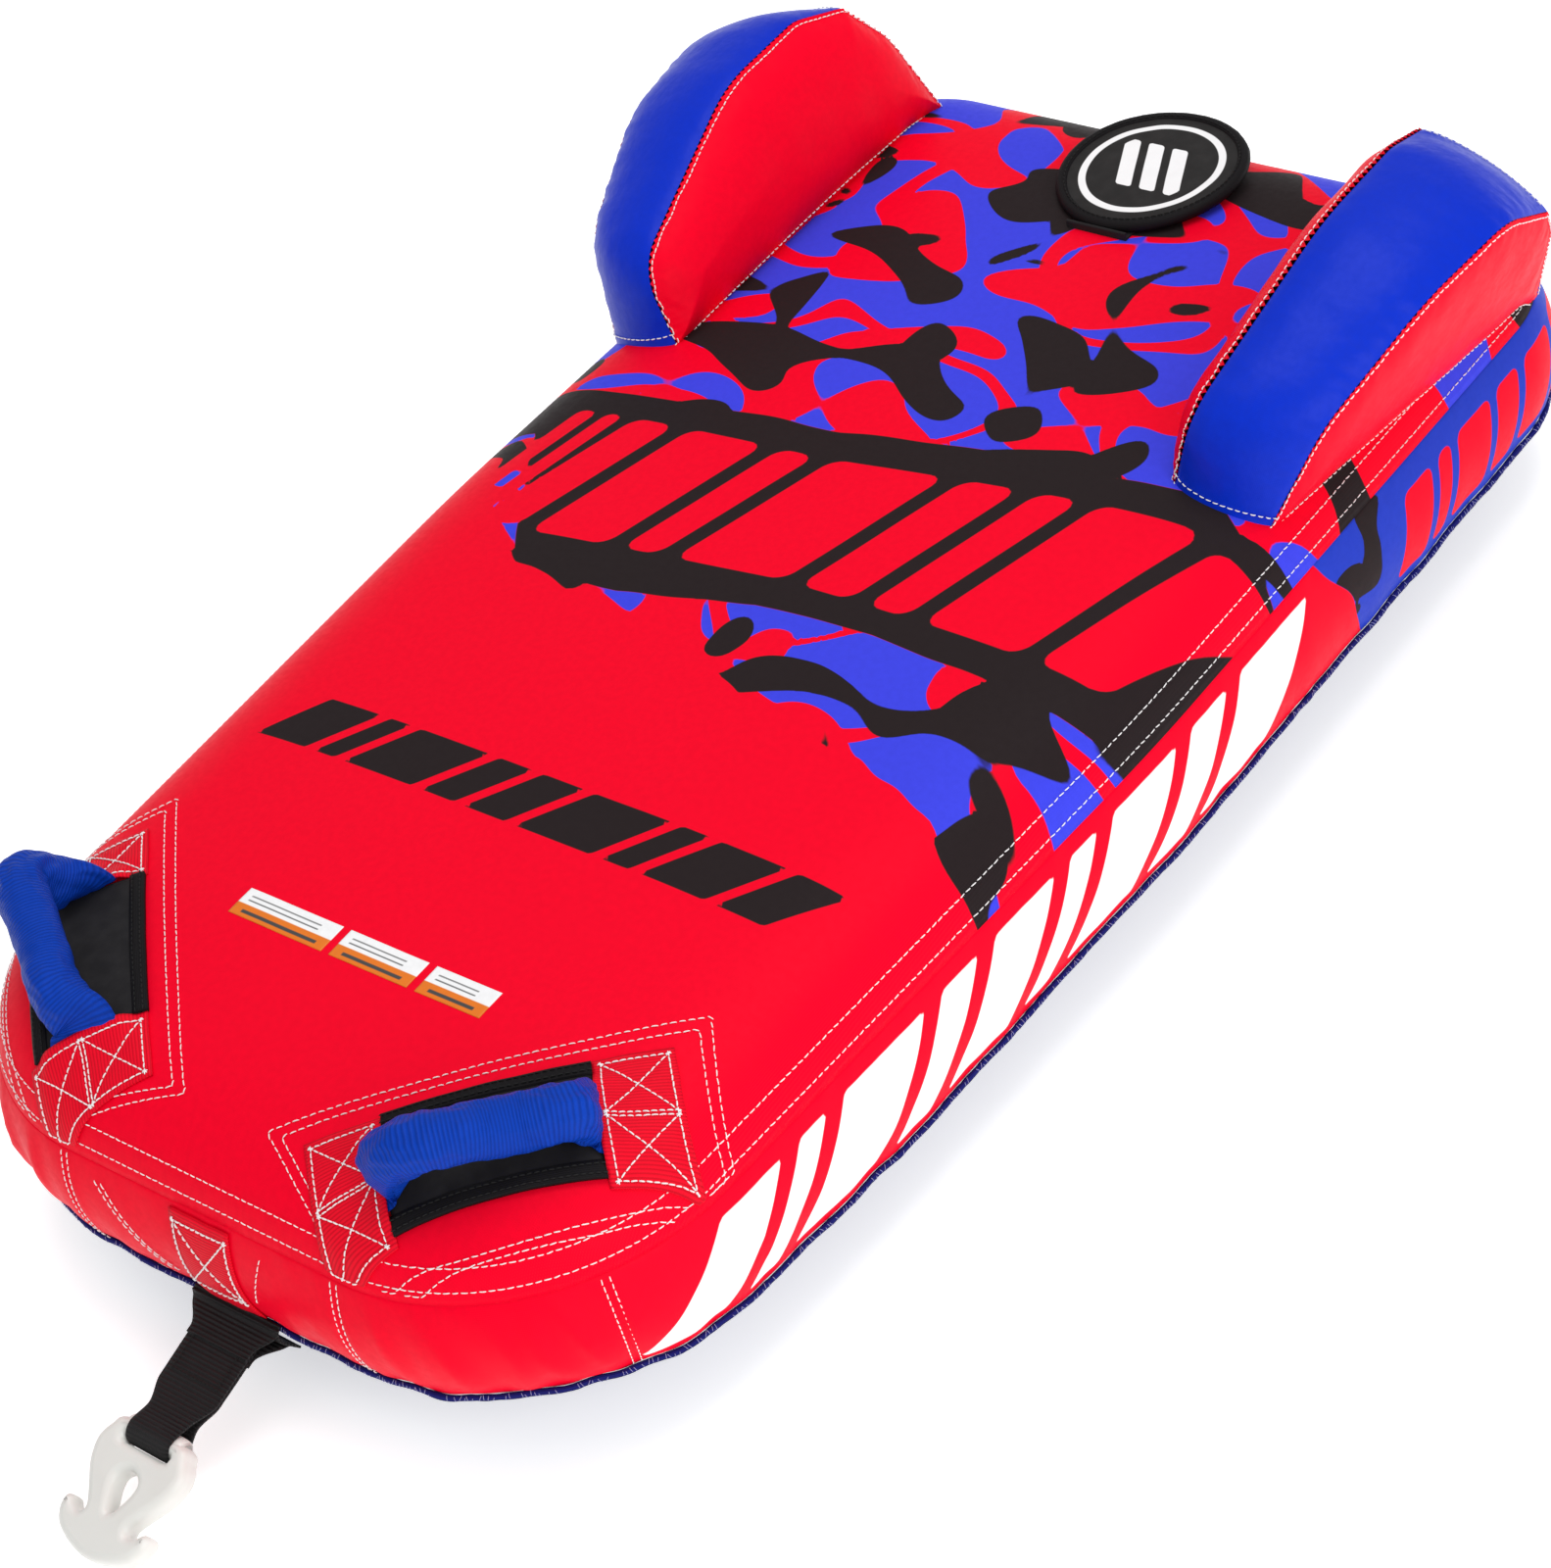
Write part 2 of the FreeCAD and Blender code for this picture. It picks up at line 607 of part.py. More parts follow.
def tow_strap():
    """Double webbing with a loop at its end round the hook's cross bar."""
    hole_r = HOOK_T / 2 + LOOP_PLAY
    drop = (hole_r + LOOP_T / 2) * math.sqrt(0.5)
    top = V(-STRAP_WIDTH / 2, *STRAP_TOP)
    end = V(-STRAP_WIDTH / 2, HOOK_PIVOT_Y + drop, HOOK_PIVOT_Z - drop)
    along = (end - top).normalize()
    across = V(1, 0, 0).cross(along) * (STRAP_T / 2)
    stem = prism([top + across, end + across, end - across, top - across],
                 V(STRAP_WIDTH, 0, 0))
    stem = stem.fuse(Part.makeCylinder(STRAP_T / 2, STRAP_WIDTH, top, V(1, 0, 0)))
    stem = stem.fuse(cross_cylinder(hole_r + LOOP_T, LOOP_WIDTH / 2))
    return stem.cut(cross_cylinder(hole_r, STRAP_WIDTH))


def tow_hook():
    """Moulded quick hook: slotted eye, teardrop rope eye and two horns."""
    centre, forward, normal = hook_directions()

    def slab(points, extra=0.0):
        low = centre - normal * (HOOK_T / 2 + extra)
        corners = [low + V(x, 0, 0) + forward * s for x, s in points]
        return prism(corners, normal * (HOOK_T + 2 * extra))

    plate = slab(HOOK_OUTLINE + [(-x, s) for x, s in HOOK_OUTLINE[-2:0:-1]])
    half_slot, slot_end = HOOK_SLOT
    slot = slab([(-half_slot, -1.0), (half_slot, -1.0), (half_slot, slot_end),
                 (-half_slot, slot_end)], 5.0)
    (wide, wide_at), (narrow, narrow_at) = ROPE_EYE_TIP
    drop = slab([(-wide, wide_at), (wide, wide_at), (narrow, narrow_at),
                 (-narrow, narrow_at)], 5.0)
    eye = Part.makeCylinder(ROPE_EYE_R, HOOK_T + 10.0,
                            centre + forward * ROPE_EYE_AT - normal * (HOOK_T / 2 + 5.0), normal)
    bar = cross_cylinder(HOOK_T / 2, HOOK_BAR_HALF)
    return plate.cut(slot).cut(drop).cut(eye).fuse(bar)


# ---- valve --------------------------------------------------------------------------
def valve():
    x, y = VALVE_AT
    z = deck_height(x, y)
    skin = COVER_T + BLADDER_GAP
    collar = upright(x, y, 150.0, 240.0, VALVE_HOLE_R - 4.0)
    flange = COVER_INSIDE.cut(BLADDER_OUTSIDE).common(collar)
    tube = upright(x, y, z - VALVE_DEPTH, z + VALVE_RIM, VALVE_TUBE_R)
    flange = flange.cut(upright(x, y, 150.0, 240.0, VALVE_TUBE_R))
    base = tube.cut(upright(x, y, z - 60.0, z + 60.0, VALVE_TUBE_BORE_R)).fuse(flange)
    insert_r = VALVE_TUBE_BORE_R - 0.15
    insert_low = z - INSERT_DEPTH
    insert = upright(x, y, insert_low, z - 2.0, insert_r)
    insert = insert.cut(upright(x, y, insert_low + INSERT_FLOOR, z + 10.0,
                                insert_r - INSERT_WALL))
    for quarter in range(4):
        angle = math.radians(45.0 + 90.0 * quarter)
        port = upright(x + INSERT_PORT_AT * math.cos(angle), y + INSERT_PORT_AT * math.sin(angle),
                       z - 30.0, z - 10.0, INSERT_PORT_R)
        insert = insert.cut(port)
    diaphragm_top = insert_low - 0.3
    diaphragm = upright(x, y, diaphragm_top - DIAPHRAGM_T, diaphragm_top,
                        VALVE_TUBE_BORE_R - 2.0)
    cap_low = z + VALVE_RIM + 0.2
    plug_r = insert_r - INSERT_WALL - 0.3
    cap_top = upright(x, y, cap_low, cap_low + CAP_T, VALVE_TUBE_R)
    cap_plug = upright(x, y, z - 6.0, cap_low + 0.1, plug_r)
    cap_plug = cap_plug.cut(upright(x, y, z - 10.0, z + 1.0, plug_r - CAP_PLUG_WALL))
    grip_length, grip_width = CAP_GRIP
    grip = box(x - grip_length / 2, x + grip_length / 2, y - grip_width / 2, y + grip_width / 2,
               z - 1.0, cap_low + 0.1)
    recess = upright(x, y, z + 1.5, z + 20.0, CAP_RECESS_R)
    cap = cap_top.fuse(cap_plug).cut(recess).fuse(grip)
    trim_ring = upright(x, y, 150.0, 240.0, VALVE_HOLE_R + TRIM_W)
    trim_ring = trim_ring.cut(upright(x, y, 150.0, 240.0, VALVE_HOLE_R))
    trim = on_deck(trim_ring, 0.0, TRIM_T)
    return {"valve_base": base, "valve_insert": insert, "valve_diaphragm": diaphragm,
            "valve_cap": cap, "valve_opening_trim": trim}


def valve_cover():
    """Padded round flap over the valve, and the tab that it swings on."""
    x, y = VALVE_AT
    z = deck_height(x, y) + COVER_DISC_LIFT
    top = z + COVER_DISC_T
    disc_r = COVER_DISC_R - COVER_BINDING_W
    disc = upright(x, y, z, top, disc_r)
    rim = upright(x, y, z - COVER_BINDING_PROUD, top + COVER_BINDING_PROUD, COVER_DISC_R)
    rim = rim.cut(upright(x, y, z - 5.0, top + 5.0, disc_r))
    tape = upright(x, y, z - COVER_TAPE_T, z, COVER_TAPE_R[1])
    tape = tape.cut(upright(x, y, z - 5.0, z + 5.0, COVER_TAPE_R[0]))
    width, length, tab_t = COVER_TAB
    x0, x1 = x - width / 2, x + width / 2
    hinge_y = y - COVER_HINGE_AHEAD
    hinge_z = deck_height(x, y) + COVER_HINGE_LIFT
    tab_block = box(x0, x1, hinge_y - COVER_BEAD_R, hinge_y + length, TOP_SEAM_Z + 5.0, 240.0)
    bead = Part.makeCylinder(COVER_BEAD_R, width, V(x0, hinge_y, hinge_z), V(1, 0, 0))
    riser = box(x0, x1, hinge_y - COVER_BEAD_R, hinge_y, hinge_z - 5.0, hinge_z)
    tab = on_deck(tab_block, 0.0, tab_t).fuse(riser.cut(OUTER)).fuse(bead)
    return {"valve_cover": disc, "valve_cover_binding": rim, "valve_cover_hook_tape": tape,
            "valve_cover_tab": tab}


# ---- zipper -------------------------------------------------------------------------
def zipper():
    half = ZIP_HALF_LENGTH
    face_y = TAIL_Y + 10.0
    tape_block = box(-half, half, TAIL_Y - 10.0, TAIL_Y + 40.0,
                     ZIP_Z - ZIP_TAPE_H / 2, ZIP_Z + ZIP_TAPE_H / 2)
    tape = body(ZIP_TAPE_T).cut(OUTER).common(tape_block)
    front = face_y + ZIP_TAPE_T + 0.05
    tooth_x, tooth_y, tooth_z = ZIP_TOOTH
    teeth = []
    for i in range(int(2 * half / ZIP_PITCH) - 1):
        x = -half + ZIP_PITCH * (i + 0.7)
        teeth.append(box(x, x + tooth_x, front, front + tooth_y,
                         ZIP_Z - tooth_z / 2, ZIP_Z + tooth_z / 2))
    slider_x, slider_t, slider_z = ZIP_SLIDER
    x0 = -half + 2.0
    slider_y = front + tooth_y + 0.3
    slider = box(x0, x0 + slider_x, slider_y, slider_y + slider_t,
                 ZIP_Z - slider_z / 2, ZIP_Z + slider_z / 2)
    bridge = box(x0 + 4.5, x0 + 7.5, slider_y + slider_t - 0.1, slider_y + 5.2,
                 ZIP_Z + 0.5, ZIP_Z + 4.0)
    pin_y, pin_z = slider_y + 4.0, ZIP_Z + 2.2
    eye = Part.makeCylinder(ZIP_PIN_R + 0.1, 10.0, V(x0 + 1.0, pin_y, pin_z), V(1, 0, 0))
    slider = slider.fuse(bridge.cut(eye))
    pull_x, pull_t, pull_z = ZIP_PULL
    pull_top = ZIP_Z + 3.3
    pull = box(x0 + 2.0, x0 + 2.0 + pull_x, pin_y - pull_t / 2, pin_y + pull_t / 2,
               pull_top - pull_z, pull_top)
    pull = pull.cut(box(x0 + 4.0, x0 + 8.0, pin_y - 5.8, pin_y + 4.2,
                        ZIP_Z - 2.0, ZIP_Z + 4.6))
    pin = Part.makeCylinder(ZIP_PIN_R, 6.0, V(x0 + 3.0, pin_y, pin_z), V(1, 0, 0))
    return {"zipper_tape": tape, "zipper_teeth": Part.makeCompound(teeth),
            "zipper_slider": slider, "zipper_pull": pull.fuse(pin)}


# ---- labels -------------------------------------------------------------------------
def deck_labels():
    plates = []
    for x0, x1 in LABEL_X:
        block = box(x0, x1, LABEL_Y[0], LABEL_Y[1], TOP_SEAM_Z, 260.0)
        plates += on_deck(block, 0.0, LABEL_T).Solids
    return Part.makeCompound(plates)


# ---- assembly -----------------------------------------------------------------------
def build():
    nodes = cover_panels()
    nodes["bottom_piping"] = bottom_piping()
    nodes["drain_grommets"] = drain_grommets()
    nodes["main_bladder"] = bladder()
    nodes["bladder_baffles"] = baffles()
    for name, shape in list(right_wing().items()) + list(handle_mounting().items()):
        nodes[name + "_right"] = shape
        nodes[name + "_left"] = mirrored(shape)
    for side in ("right", "left"):
        pieces = handle(side)
        if side == "left":
            pieces = [mirrored(piece) for piece in pieces]
        for name, piece in zip(("core", "foam", "sleeve"), pieces):
            nodes["handle_%s_%s" % (name, side)] = piece
    nodes["nose_patch"] = nose_patch()
    nodes["tow_wrap"] = tow_wrap()
    nodes["tow_strap"] = tow_strap()
    nodes["tow_hook"] = tow_hook()
    nodes.update(valve())
    nodes.update(valve_cover())
    nodes.update(zipper())
    nodes["deck_labels"] = deck_labels()
    return nodes


os.makedirs("parts", exist_ok=True)
for node_name, node_shape in build().items():
    solids_only(node_shape).exportStep("parts/%s.step" % node_name)
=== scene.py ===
import math
import bpy
import numpy as np
from mathutils import Matrix, Vector


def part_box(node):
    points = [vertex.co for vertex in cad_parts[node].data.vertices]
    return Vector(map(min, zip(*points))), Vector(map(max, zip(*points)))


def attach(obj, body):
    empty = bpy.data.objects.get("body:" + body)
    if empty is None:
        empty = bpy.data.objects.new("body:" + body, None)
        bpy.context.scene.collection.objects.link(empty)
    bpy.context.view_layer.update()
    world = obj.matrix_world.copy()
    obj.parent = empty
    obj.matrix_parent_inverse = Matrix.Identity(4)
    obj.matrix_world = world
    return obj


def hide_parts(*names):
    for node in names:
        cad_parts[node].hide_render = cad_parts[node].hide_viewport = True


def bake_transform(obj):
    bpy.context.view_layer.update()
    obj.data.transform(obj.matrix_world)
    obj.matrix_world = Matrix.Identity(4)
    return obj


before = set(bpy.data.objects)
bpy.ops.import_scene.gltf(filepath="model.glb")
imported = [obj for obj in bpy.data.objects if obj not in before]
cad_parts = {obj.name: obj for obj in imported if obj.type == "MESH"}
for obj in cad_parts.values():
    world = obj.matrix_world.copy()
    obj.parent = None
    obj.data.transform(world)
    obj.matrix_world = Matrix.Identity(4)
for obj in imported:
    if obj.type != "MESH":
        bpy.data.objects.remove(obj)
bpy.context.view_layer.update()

# Looks of the towable tube. Sizes are in millimetres and made into metres by MM.
# +X is the right as seen from the nose, the nose is at -Y, +Z is up.

MM = 0.001
scene = bpy.context.scene

# ---- driving dimensions, as the frame has them -----------------------------------------
deck_low, deck_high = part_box("deck_panel")
NOSE_Y = deck_low.y / MM
TAIL_Y = deck_high.y / MM
TOP_SEAM_Z = deck_low.z / MM
BOTTOM_SEAM_Z = 63.0
SEAM_CORNERS = [(0.0, NOSE_Y, 0.0), (272.0, NOSE_Y, 165.0), (300.0, 0.0, 1500.0),
                (296.0, TAIL_Y, 95.0), (-296.0, TAIL_Y, 95.0), (-300.0, 0.0, 1500.0),
                (-272.0, NOSE_Y, 165.0)]
DECK_PROFILE = [(0.0, 148.0), (10.0, 169.0), (29.0, 185.0), (56.0, 195.0), (91.0, 200.0),
                (150.0, 203.0), (205.0, 204.0), (400.0, 204.0)]
BELLY_PROFILE = [(0.0, 63.0), (22.0, 54.0), (48.0, 38.0), (76.0, 17.0), (105.0, 0.0)]
WALL_SWELL = 10.0
BLADDER_LOW_Z = 4.0
BLADDER_INSET = 5.0
BLADDER_TOP_INWARD = 55.0
SEAM_STEP = 3.6
SEAM_CALM = 60.0
SEAM_TUCK = 4.0
NOSE_CORNER = (222.0, -520.0)
NOSE_CORNER_REACH = 120.0
REAR_FROM_Y = 400.0
SPINE_END = 360.0
BATCH = 4000

JOINT_LEFT_X = -119.0
JOINT_NOSE_X = 113.0
JOINT_CORNER_X = 262.0
JOINT_CORNER_Y = -498.0
JOINT_TAIL_X = 150.0

HANDLE_FRONT = np.array([127.2, -520.7])
HANDLE_ALONG = np.array([0.7174, 0.6967])
HANDLE_OUT = np.array([0.6967, -0.7174])
HANDLE_LINE_UP = 12.0

WING_INNER = [(163.0, 120.0, 0.0), (176.0, 256.0, 40.0), (318.0, 312.0, 140.0),
              (400.0, 314.0, 40.0), (445.0, 298.0, 3.0), (471.0, 260.0, 60.0),
              (503.0, 120.0, 0.0)]
WING_OUTER = [(146.0, 120.0, 0.0), (208.0, 244.0, 50.0), (300.0, 284.0, 140.0),
              (385.0, 288.0, 60.0), (446.0, 252.0, 3.0), (464.0, 222.0, 30.0),
              (486.0, 120.0, 0.0)]
WING_BULGE = 11.0
WING_REAR_BULGE = 7.0
WING_INNER_SWELL = 22.0
WING_OUTER_SWELL = 7.5
APEX_BULGE = 7.0
APEX_OUT = np.array([0.0, 0.62, 0.785])

# ---- colours ---------------------------------------------------------------------------
RED = (0.84, 0.0, 0.019)
DARK_RED = (0.33, 0.004, 0.012)
VIOLET = (0.045, 0.055, 0.70)
PRINT_BLACK = (0.019, 0.013, 0.014)
ROYAL = (0.0, 0.024, 0.50)
HANDLE_BLUE = (0.003, 0.044, 0.40)
WALL_BLUE = (0.018, 0.045, 0.47)
PRINT_WHITE = (0.86, 0.86, 0.87)
NAVY = (0.006, 0.010, 0.075)


# ---- numbers ---------------------------------------------------------------------------
def unit(vectors):
    return vectors / np.maximum(np.linalg.norm(vectors, axis=-1, keepdims=True), 1e-9)


def ease(low, high, x):
    t = np.clip((x - low) / (high - low), 0.0, 1.0)
    return t * t * (3.0 - 2.0 * t)


def hill(x, centre, width):
    return np.exp(-((x - centre) / width) ** 2)


def clouds(x, y, seed):
    """Smooth gradient noise over the plane, about -0.7 to 0.7."""
    x, y = np.broadcast_arrays(np.asarray(x, float), np.asarray(y, float))
    order = np.random.RandomState(seed).permutation(512)
    column, row = np.floor(x).astype(int), np.floor(y).astype(int)
    fx, fy = x - column, y - row

    def corner(dx, dy):
        angle = order[(order[(column + dx) % 512] + row + dy) % 512] * (2.0 * math.pi / 512.0)
        return np.cos(angle) * (fx - dx) + np.sin(angle) * (fy - dy)

    u = fx ** 3 * (fx * (fx * 6.0 - 15.0) + 10.0)
    v = fy ** 3 * (fy * (fy * 6.0 - 15.0) + 10.0)
    low = corner(0, 0) + u * (corner(1, 0) - corner(0, 0))
    high = corner(0, 1) + u * (corner(1, 1) - corner(0, 1))
    return low + v * (high - low)


def run_along(points):
    """Distance along a path at each of its points."""
    return np.concatenate([[0.0], np.cumsum(np.linalg.norm(np.diff(points, axis=0), axis=1))])


def at_distances(points, run, at):
    """The points of a path at the given distances along it."""
    return np.stack([np.interp(at, run, points[:, k]) for k in range(points.shape[1])], 1)


def resample(points, step, closed=False):
    """The same path with its points evenly spaced, about step apart."""
    points = np.asarray(points, float)
    if closed:
        points = np.vstack([points, points[:1]])
    run = run_along(points)
    count = max(2, int(round(run[-1] / step)))
    at = np.linspace(0.0, run[-1], count + 1)
    if closed:
        at = at[:-1]
    return at_distances(points, run, at)


def rounded_path(corners, step, closed=False):
    """Points along straight runs joined by arcs; each corner is x, y, radius."""
    count = len(corners)
    spots = [np.array(c[:2]) for c in corners]
    out = []
    for i, (_, _, radius) in enumerate(corners):
        if radius == 0.0 or (not closed and i in (0, count - 1)):
            out.append(spots[i])
            continue
        before = unit(spots[i] - spots[i - 1])
        after = unit(spots[(i + 1) % count] - spots[i])
        turn = math.acos(float(np.clip(before @ after, -1.0, 1.0)))
        reach = radius * math.tan(turn / 2.0)
        start = spots[i] - before * reach
        side = 1.0 if before[0] * after[1] - before[1] * after[0] > 0 else -1.0
        centre = start + side * radius * np.array([-before[1], before[0]])
        first = start - centre
        for part in np.linspace(0.0, 1.0, max(3, int(turn * radius / 2.0) + 2)):
            c, s = math.cos(side * turn * part), math.sin(side * turn * part)
            out.append(centre + np.array([c * first[0] - s * first[1], s * first[0] + c * first[1]]))
    return resample(out, step, closed)


def smooth_path(points, step):
    """A Catmull-Rom curve through the points, evenly spaced."""
    p = np.asarray(points, float)
    p = np.vstack([2 * p[0] - p[1], p, 2 * p[-1] - p[-2]])
    out = []
    for i in range(1, len(p) - 2):
        t = np.linspace(0.0, 1.0, 24, endpoint=False)[:, None]
        a, b, c, d = p[i - 1], p[i], p[i + 1], p[i + 2]
        out.append(0.5 * (2 * b + (c - a) * t + (2 * a - 5 * b + 4 * c - d) * t ** 2
                          + (3 * b - a - 3 * c + d) * t ** 3))
    out.append(p[-2][None])
    return resample(np.vstack(out), step)


def segment_gap(x, y, start, end):
    """Distance to a straight segment."""
    (x0, y0), (x1, y1) = start, end
    dx, dy = x1 - x0, y1 - y0
    t = np.clip(((x - x0) * dx + (y - y0) * dy) / (dx * dx + dy * dy), 0.0, 1.0)
    return np.hypot(x - x0 - t * dx, y - y0 - t * dy)


def polygon_field(x, y, corners):
    """Distance to a polygon's edge, positive inside."""
    x, y = np.asarray(x, float), np.asarray(y, float)
    best = np.full(x.shape, 1e9)
    inside = np.zeros(x.shape, bool)
    for (x0, y0), (x1, y1) in zip(corners, corners[1:] + corners[:1]):
        best = np.minimum(best, segment_gap(x, y, (x0, y0), (x1, y1)))
        crossing = (y0 > y) != (y1 > y)
        with np.errstate(divide="ignore", invalid="ignore"):
            at = x0 + (y - y0) * (x1 - x0) / (y1 - y0 if y1 != y0 else 1e-9)
        inside ^= crossing & (x < at)
    return np.where(inside, best, -best)


# ---- the inflated body -----------------------------------------------------------------
SEAM = rounded_path(SEAM_CORNERS, SEAM_STEP, closed=True)
SEAM_TANGENT = unit(np.roll(SEAM, -1, 0) - np.roll(SEAM, 1, 0))
SEAM_OUT = np.stack([SEAM_TANGENT[:, 1], -SEAM_TANGENT[:, 0]], 1)
SEAM_RUN = run_along(SEAM)
SEAM_LENGTH = SEAM_RUN[-1] + np.linalg.norm(SEAM[0] - SEAM[-1])
PROFILE = smooth_path(DECK_PROFILE[:-1], 2.0)
BELLY = smooth_path(BELLY_PROFILE, 4.0)


def seam_distance(x, y):
    """How far inside the seam line, and the outward direction at the nearest point of it."""
    x, y = np.atleast_1d(np.asarray(x, float)), np.atleast_1d(np.asarray(y, float))
    flat_x, flat_y = x.ravel(), y.ravel()
    inside = np.empty(flat_x.shape)
    out = np.empty((flat_x.size, 2))
    for i in range(0, flat_x.size, BATCH):
        gap_x = flat_x[i:i + BATCH, None] - SEAM[None, :, 0]
        gap_y = flat_y[i:i + BATCH, None] - SEAM[None, :, 1]
        near = np.argmin(gap_x ** 2 + gap_y ** 2, axis=1)
        rows = np.arange(near.size)
        out[i:i + BATCH] = SEAM_OUT[near]
        inside[i:i + BATCH] = -(gap_x[rows, near] * SEAM_OUT[near, 0]
                               + gap_y[rows, near] * SEAM_OUT[near, 1])
    return inside.reshape(x.shape), out.reshape(x.shape + (2,))


def deck_height(inward):
    """Height of the smooth deck at a distance inside the top seam."""
    return np.interp(inward, PROFILE[:, 0], PROFILE[:, 1])


def deck_rise(x, y):
    """Soft unevenness of the inflated deck."""
    return 0.9 * clouds(x / 170.0, y / 170.0, 3) + 0.35 * clouds(x / 47.0, y / 61.0, 4)


def deck_point(x, y, lift=0.0):
    """Points on the deck over plan positions, lifted square to it, and its normals."""
    x, y = np.atleast_1d(np.asarray(x, float)), np.atleast_1d(np.asarray(y, float))
    x, y = np.broadcast_arrays(x, y)
    inside, out = seam_distance(x, y)
    short = np.maximum(2.0 - inside, 0.0)
    x, y = x - out[..., 0] * short, y - out[..., 1] * short
    inside = inside + short
    z = deck_height(inside) + deck_rise(x, y) * ease(0.0, SEAM_CALM, inside)
    slope = (deck_height(inside + 1.5) - deck_height(np.maximum(inside - 1.5, 0.0))) / 3.0
    normal = unit(np.stack([out[..., 0] * slope, out[..., 1] * slope, np.ones(z.shape)], -1))
    lift = np.broadcast_to(lift, z.shape)[..., None]
    return np.stack([x, y, z], -1) + normal * lift, normal


def corner_share(x, y):
    """1 at the two nose corners, fading to 0 away from them."""
    away = np.hypot(np.abs(x) - NOSE_CORNER[0], y - NOSE_CORNER[1])
    return hill(away, 0.0, NOSE_CORNER_REACH)


def bottom_seam(index):
    """Height and outward shift of the bottom seam at points of the outline."""
    x, y = SEAM[index, 0], SEAM[index, 1]
    run = SEAM_RUN[index]
    corner = corner_share(x, y)
    rear = (np.abs(x) < 230.0) & (y > REAR_FROM_Y)
    calm = np.where(rear, 0.3, 1.0)
    z = BOTTOM_SEAM_Z + 8.0 * corner - 5.0 * hill(y, -250.0, 120.0) * (x > 0)
    z = z + calm * (1.6 + 2.0 * corner) * clouds(run / 31.0, 0.5, 21)
    out = calm * (1.5 + 1.6 * corner) * clouds(run / 26.0, 7.5, 22)
    return z, out


def wall_point(index, share):
    """Points on the side wall: share is 0 at the bottom seam and 1 at the top one."""
    index, share = np.broadcast_arrays(np.asarray(index) % len(SEAM), np.asarray(share, float))
    x, y = SEAM[index, 0], SEAM[index, 1]
    run = SEAM_RUN[index]
    corner = corner_share(x, y)
    rear = hill(x, 0.0, 240.0) * (y > REAR_FROM_Y)
    seam_z, seam_out = bottom_seam(index)
    z = seam_z + (TOP_SEAM_Z - seam_z) * share
    swell = WALL_SWELL * np.clip(np.sin(np.pi * share), 0.0, 1.0) ** 0.85
    low = np.exp(-share / 0.24)
    high = np.exp(-(1.0 - share) / 0.14)
    middle = np.sin(np.pi * share) ** 0.8
    folds = (1.6 + 1.9 * corner) * clouds(run / 19.0, share * 0.8, 31) * low
    folds = folds + 1.0 * clouds(run / 13.0, share * 0.9 + 9.0, 32) * high
    ridge = clouds(run / 36.0 + share * 0.45, share * 0.5, 33)
    folds = folds + (0.7 + 5.2 * corner) * (0.5 - np.abs(ridge) * 2.4) * middle * (0.3 + corner)
    ends = ease(0.0, 0.04, share) * ease(1.0, 0.965, share)
    folds = folds * ends * (1.0 - 0.85 * rear)
    out = seam_out * (1.0 - share) + swell + folds
    for joint in JOINTS:
        gap = np.abs((run - joint + SEAM_LENGTH / 2.0) % SEAM_LENGTH - SEAM_LENGTH / 2.0)
        out = out - 1.5 * np.exp(-(gap / 2.2) ** 2) * middle
    return np.stack([x + SEAM_OUT[index, 0] * out, y + SEAM_OUT[index, 1] * out, z], -1)


def seam_index(x, y):
    """Which outline point is nearest to a plan position."""
    return int(np.argmin(np.hypot(SEAM[:, 0] - x, SEAM[:, 1] - y)))


JOINT_AT = {"left": seam_index(JOINT_LEFT_X, NOSE_Y), "nose": seam_index(JOINT_NOSE_X, NOSE_Y),
            "corner": seam_index(JOINT_CORNER_X, JOINT_CORNER_Y),
            "tail_right": seam_index(JOINT_TAIL_X, TAIL_Y),
            "tail_left": seam_index(-JOINT_TAIL_X, TAIL_Y)}
JOINTS = [SEAM_RUN[i] for i in JOINT_AT.values()]


# ---- meshes ----------------------------------------------------------------------------
def grid_faces(rows, columns, wrap_rows=False, wrap_columns=False):
    r = np.arange(rows if wrap_rows else rows - 1)[:, None]
    c = np.arange(columns if wrap_columns else columns - 1)[None, :]
    r1, c1 = (r + 1) % rows, (c + 1) % columns
    quads = np.stack([r * columns + c, r * columns + c1, r1 * columns + c1, r1 * columns + c], -1)
    return quads.reshape(-1, 4)


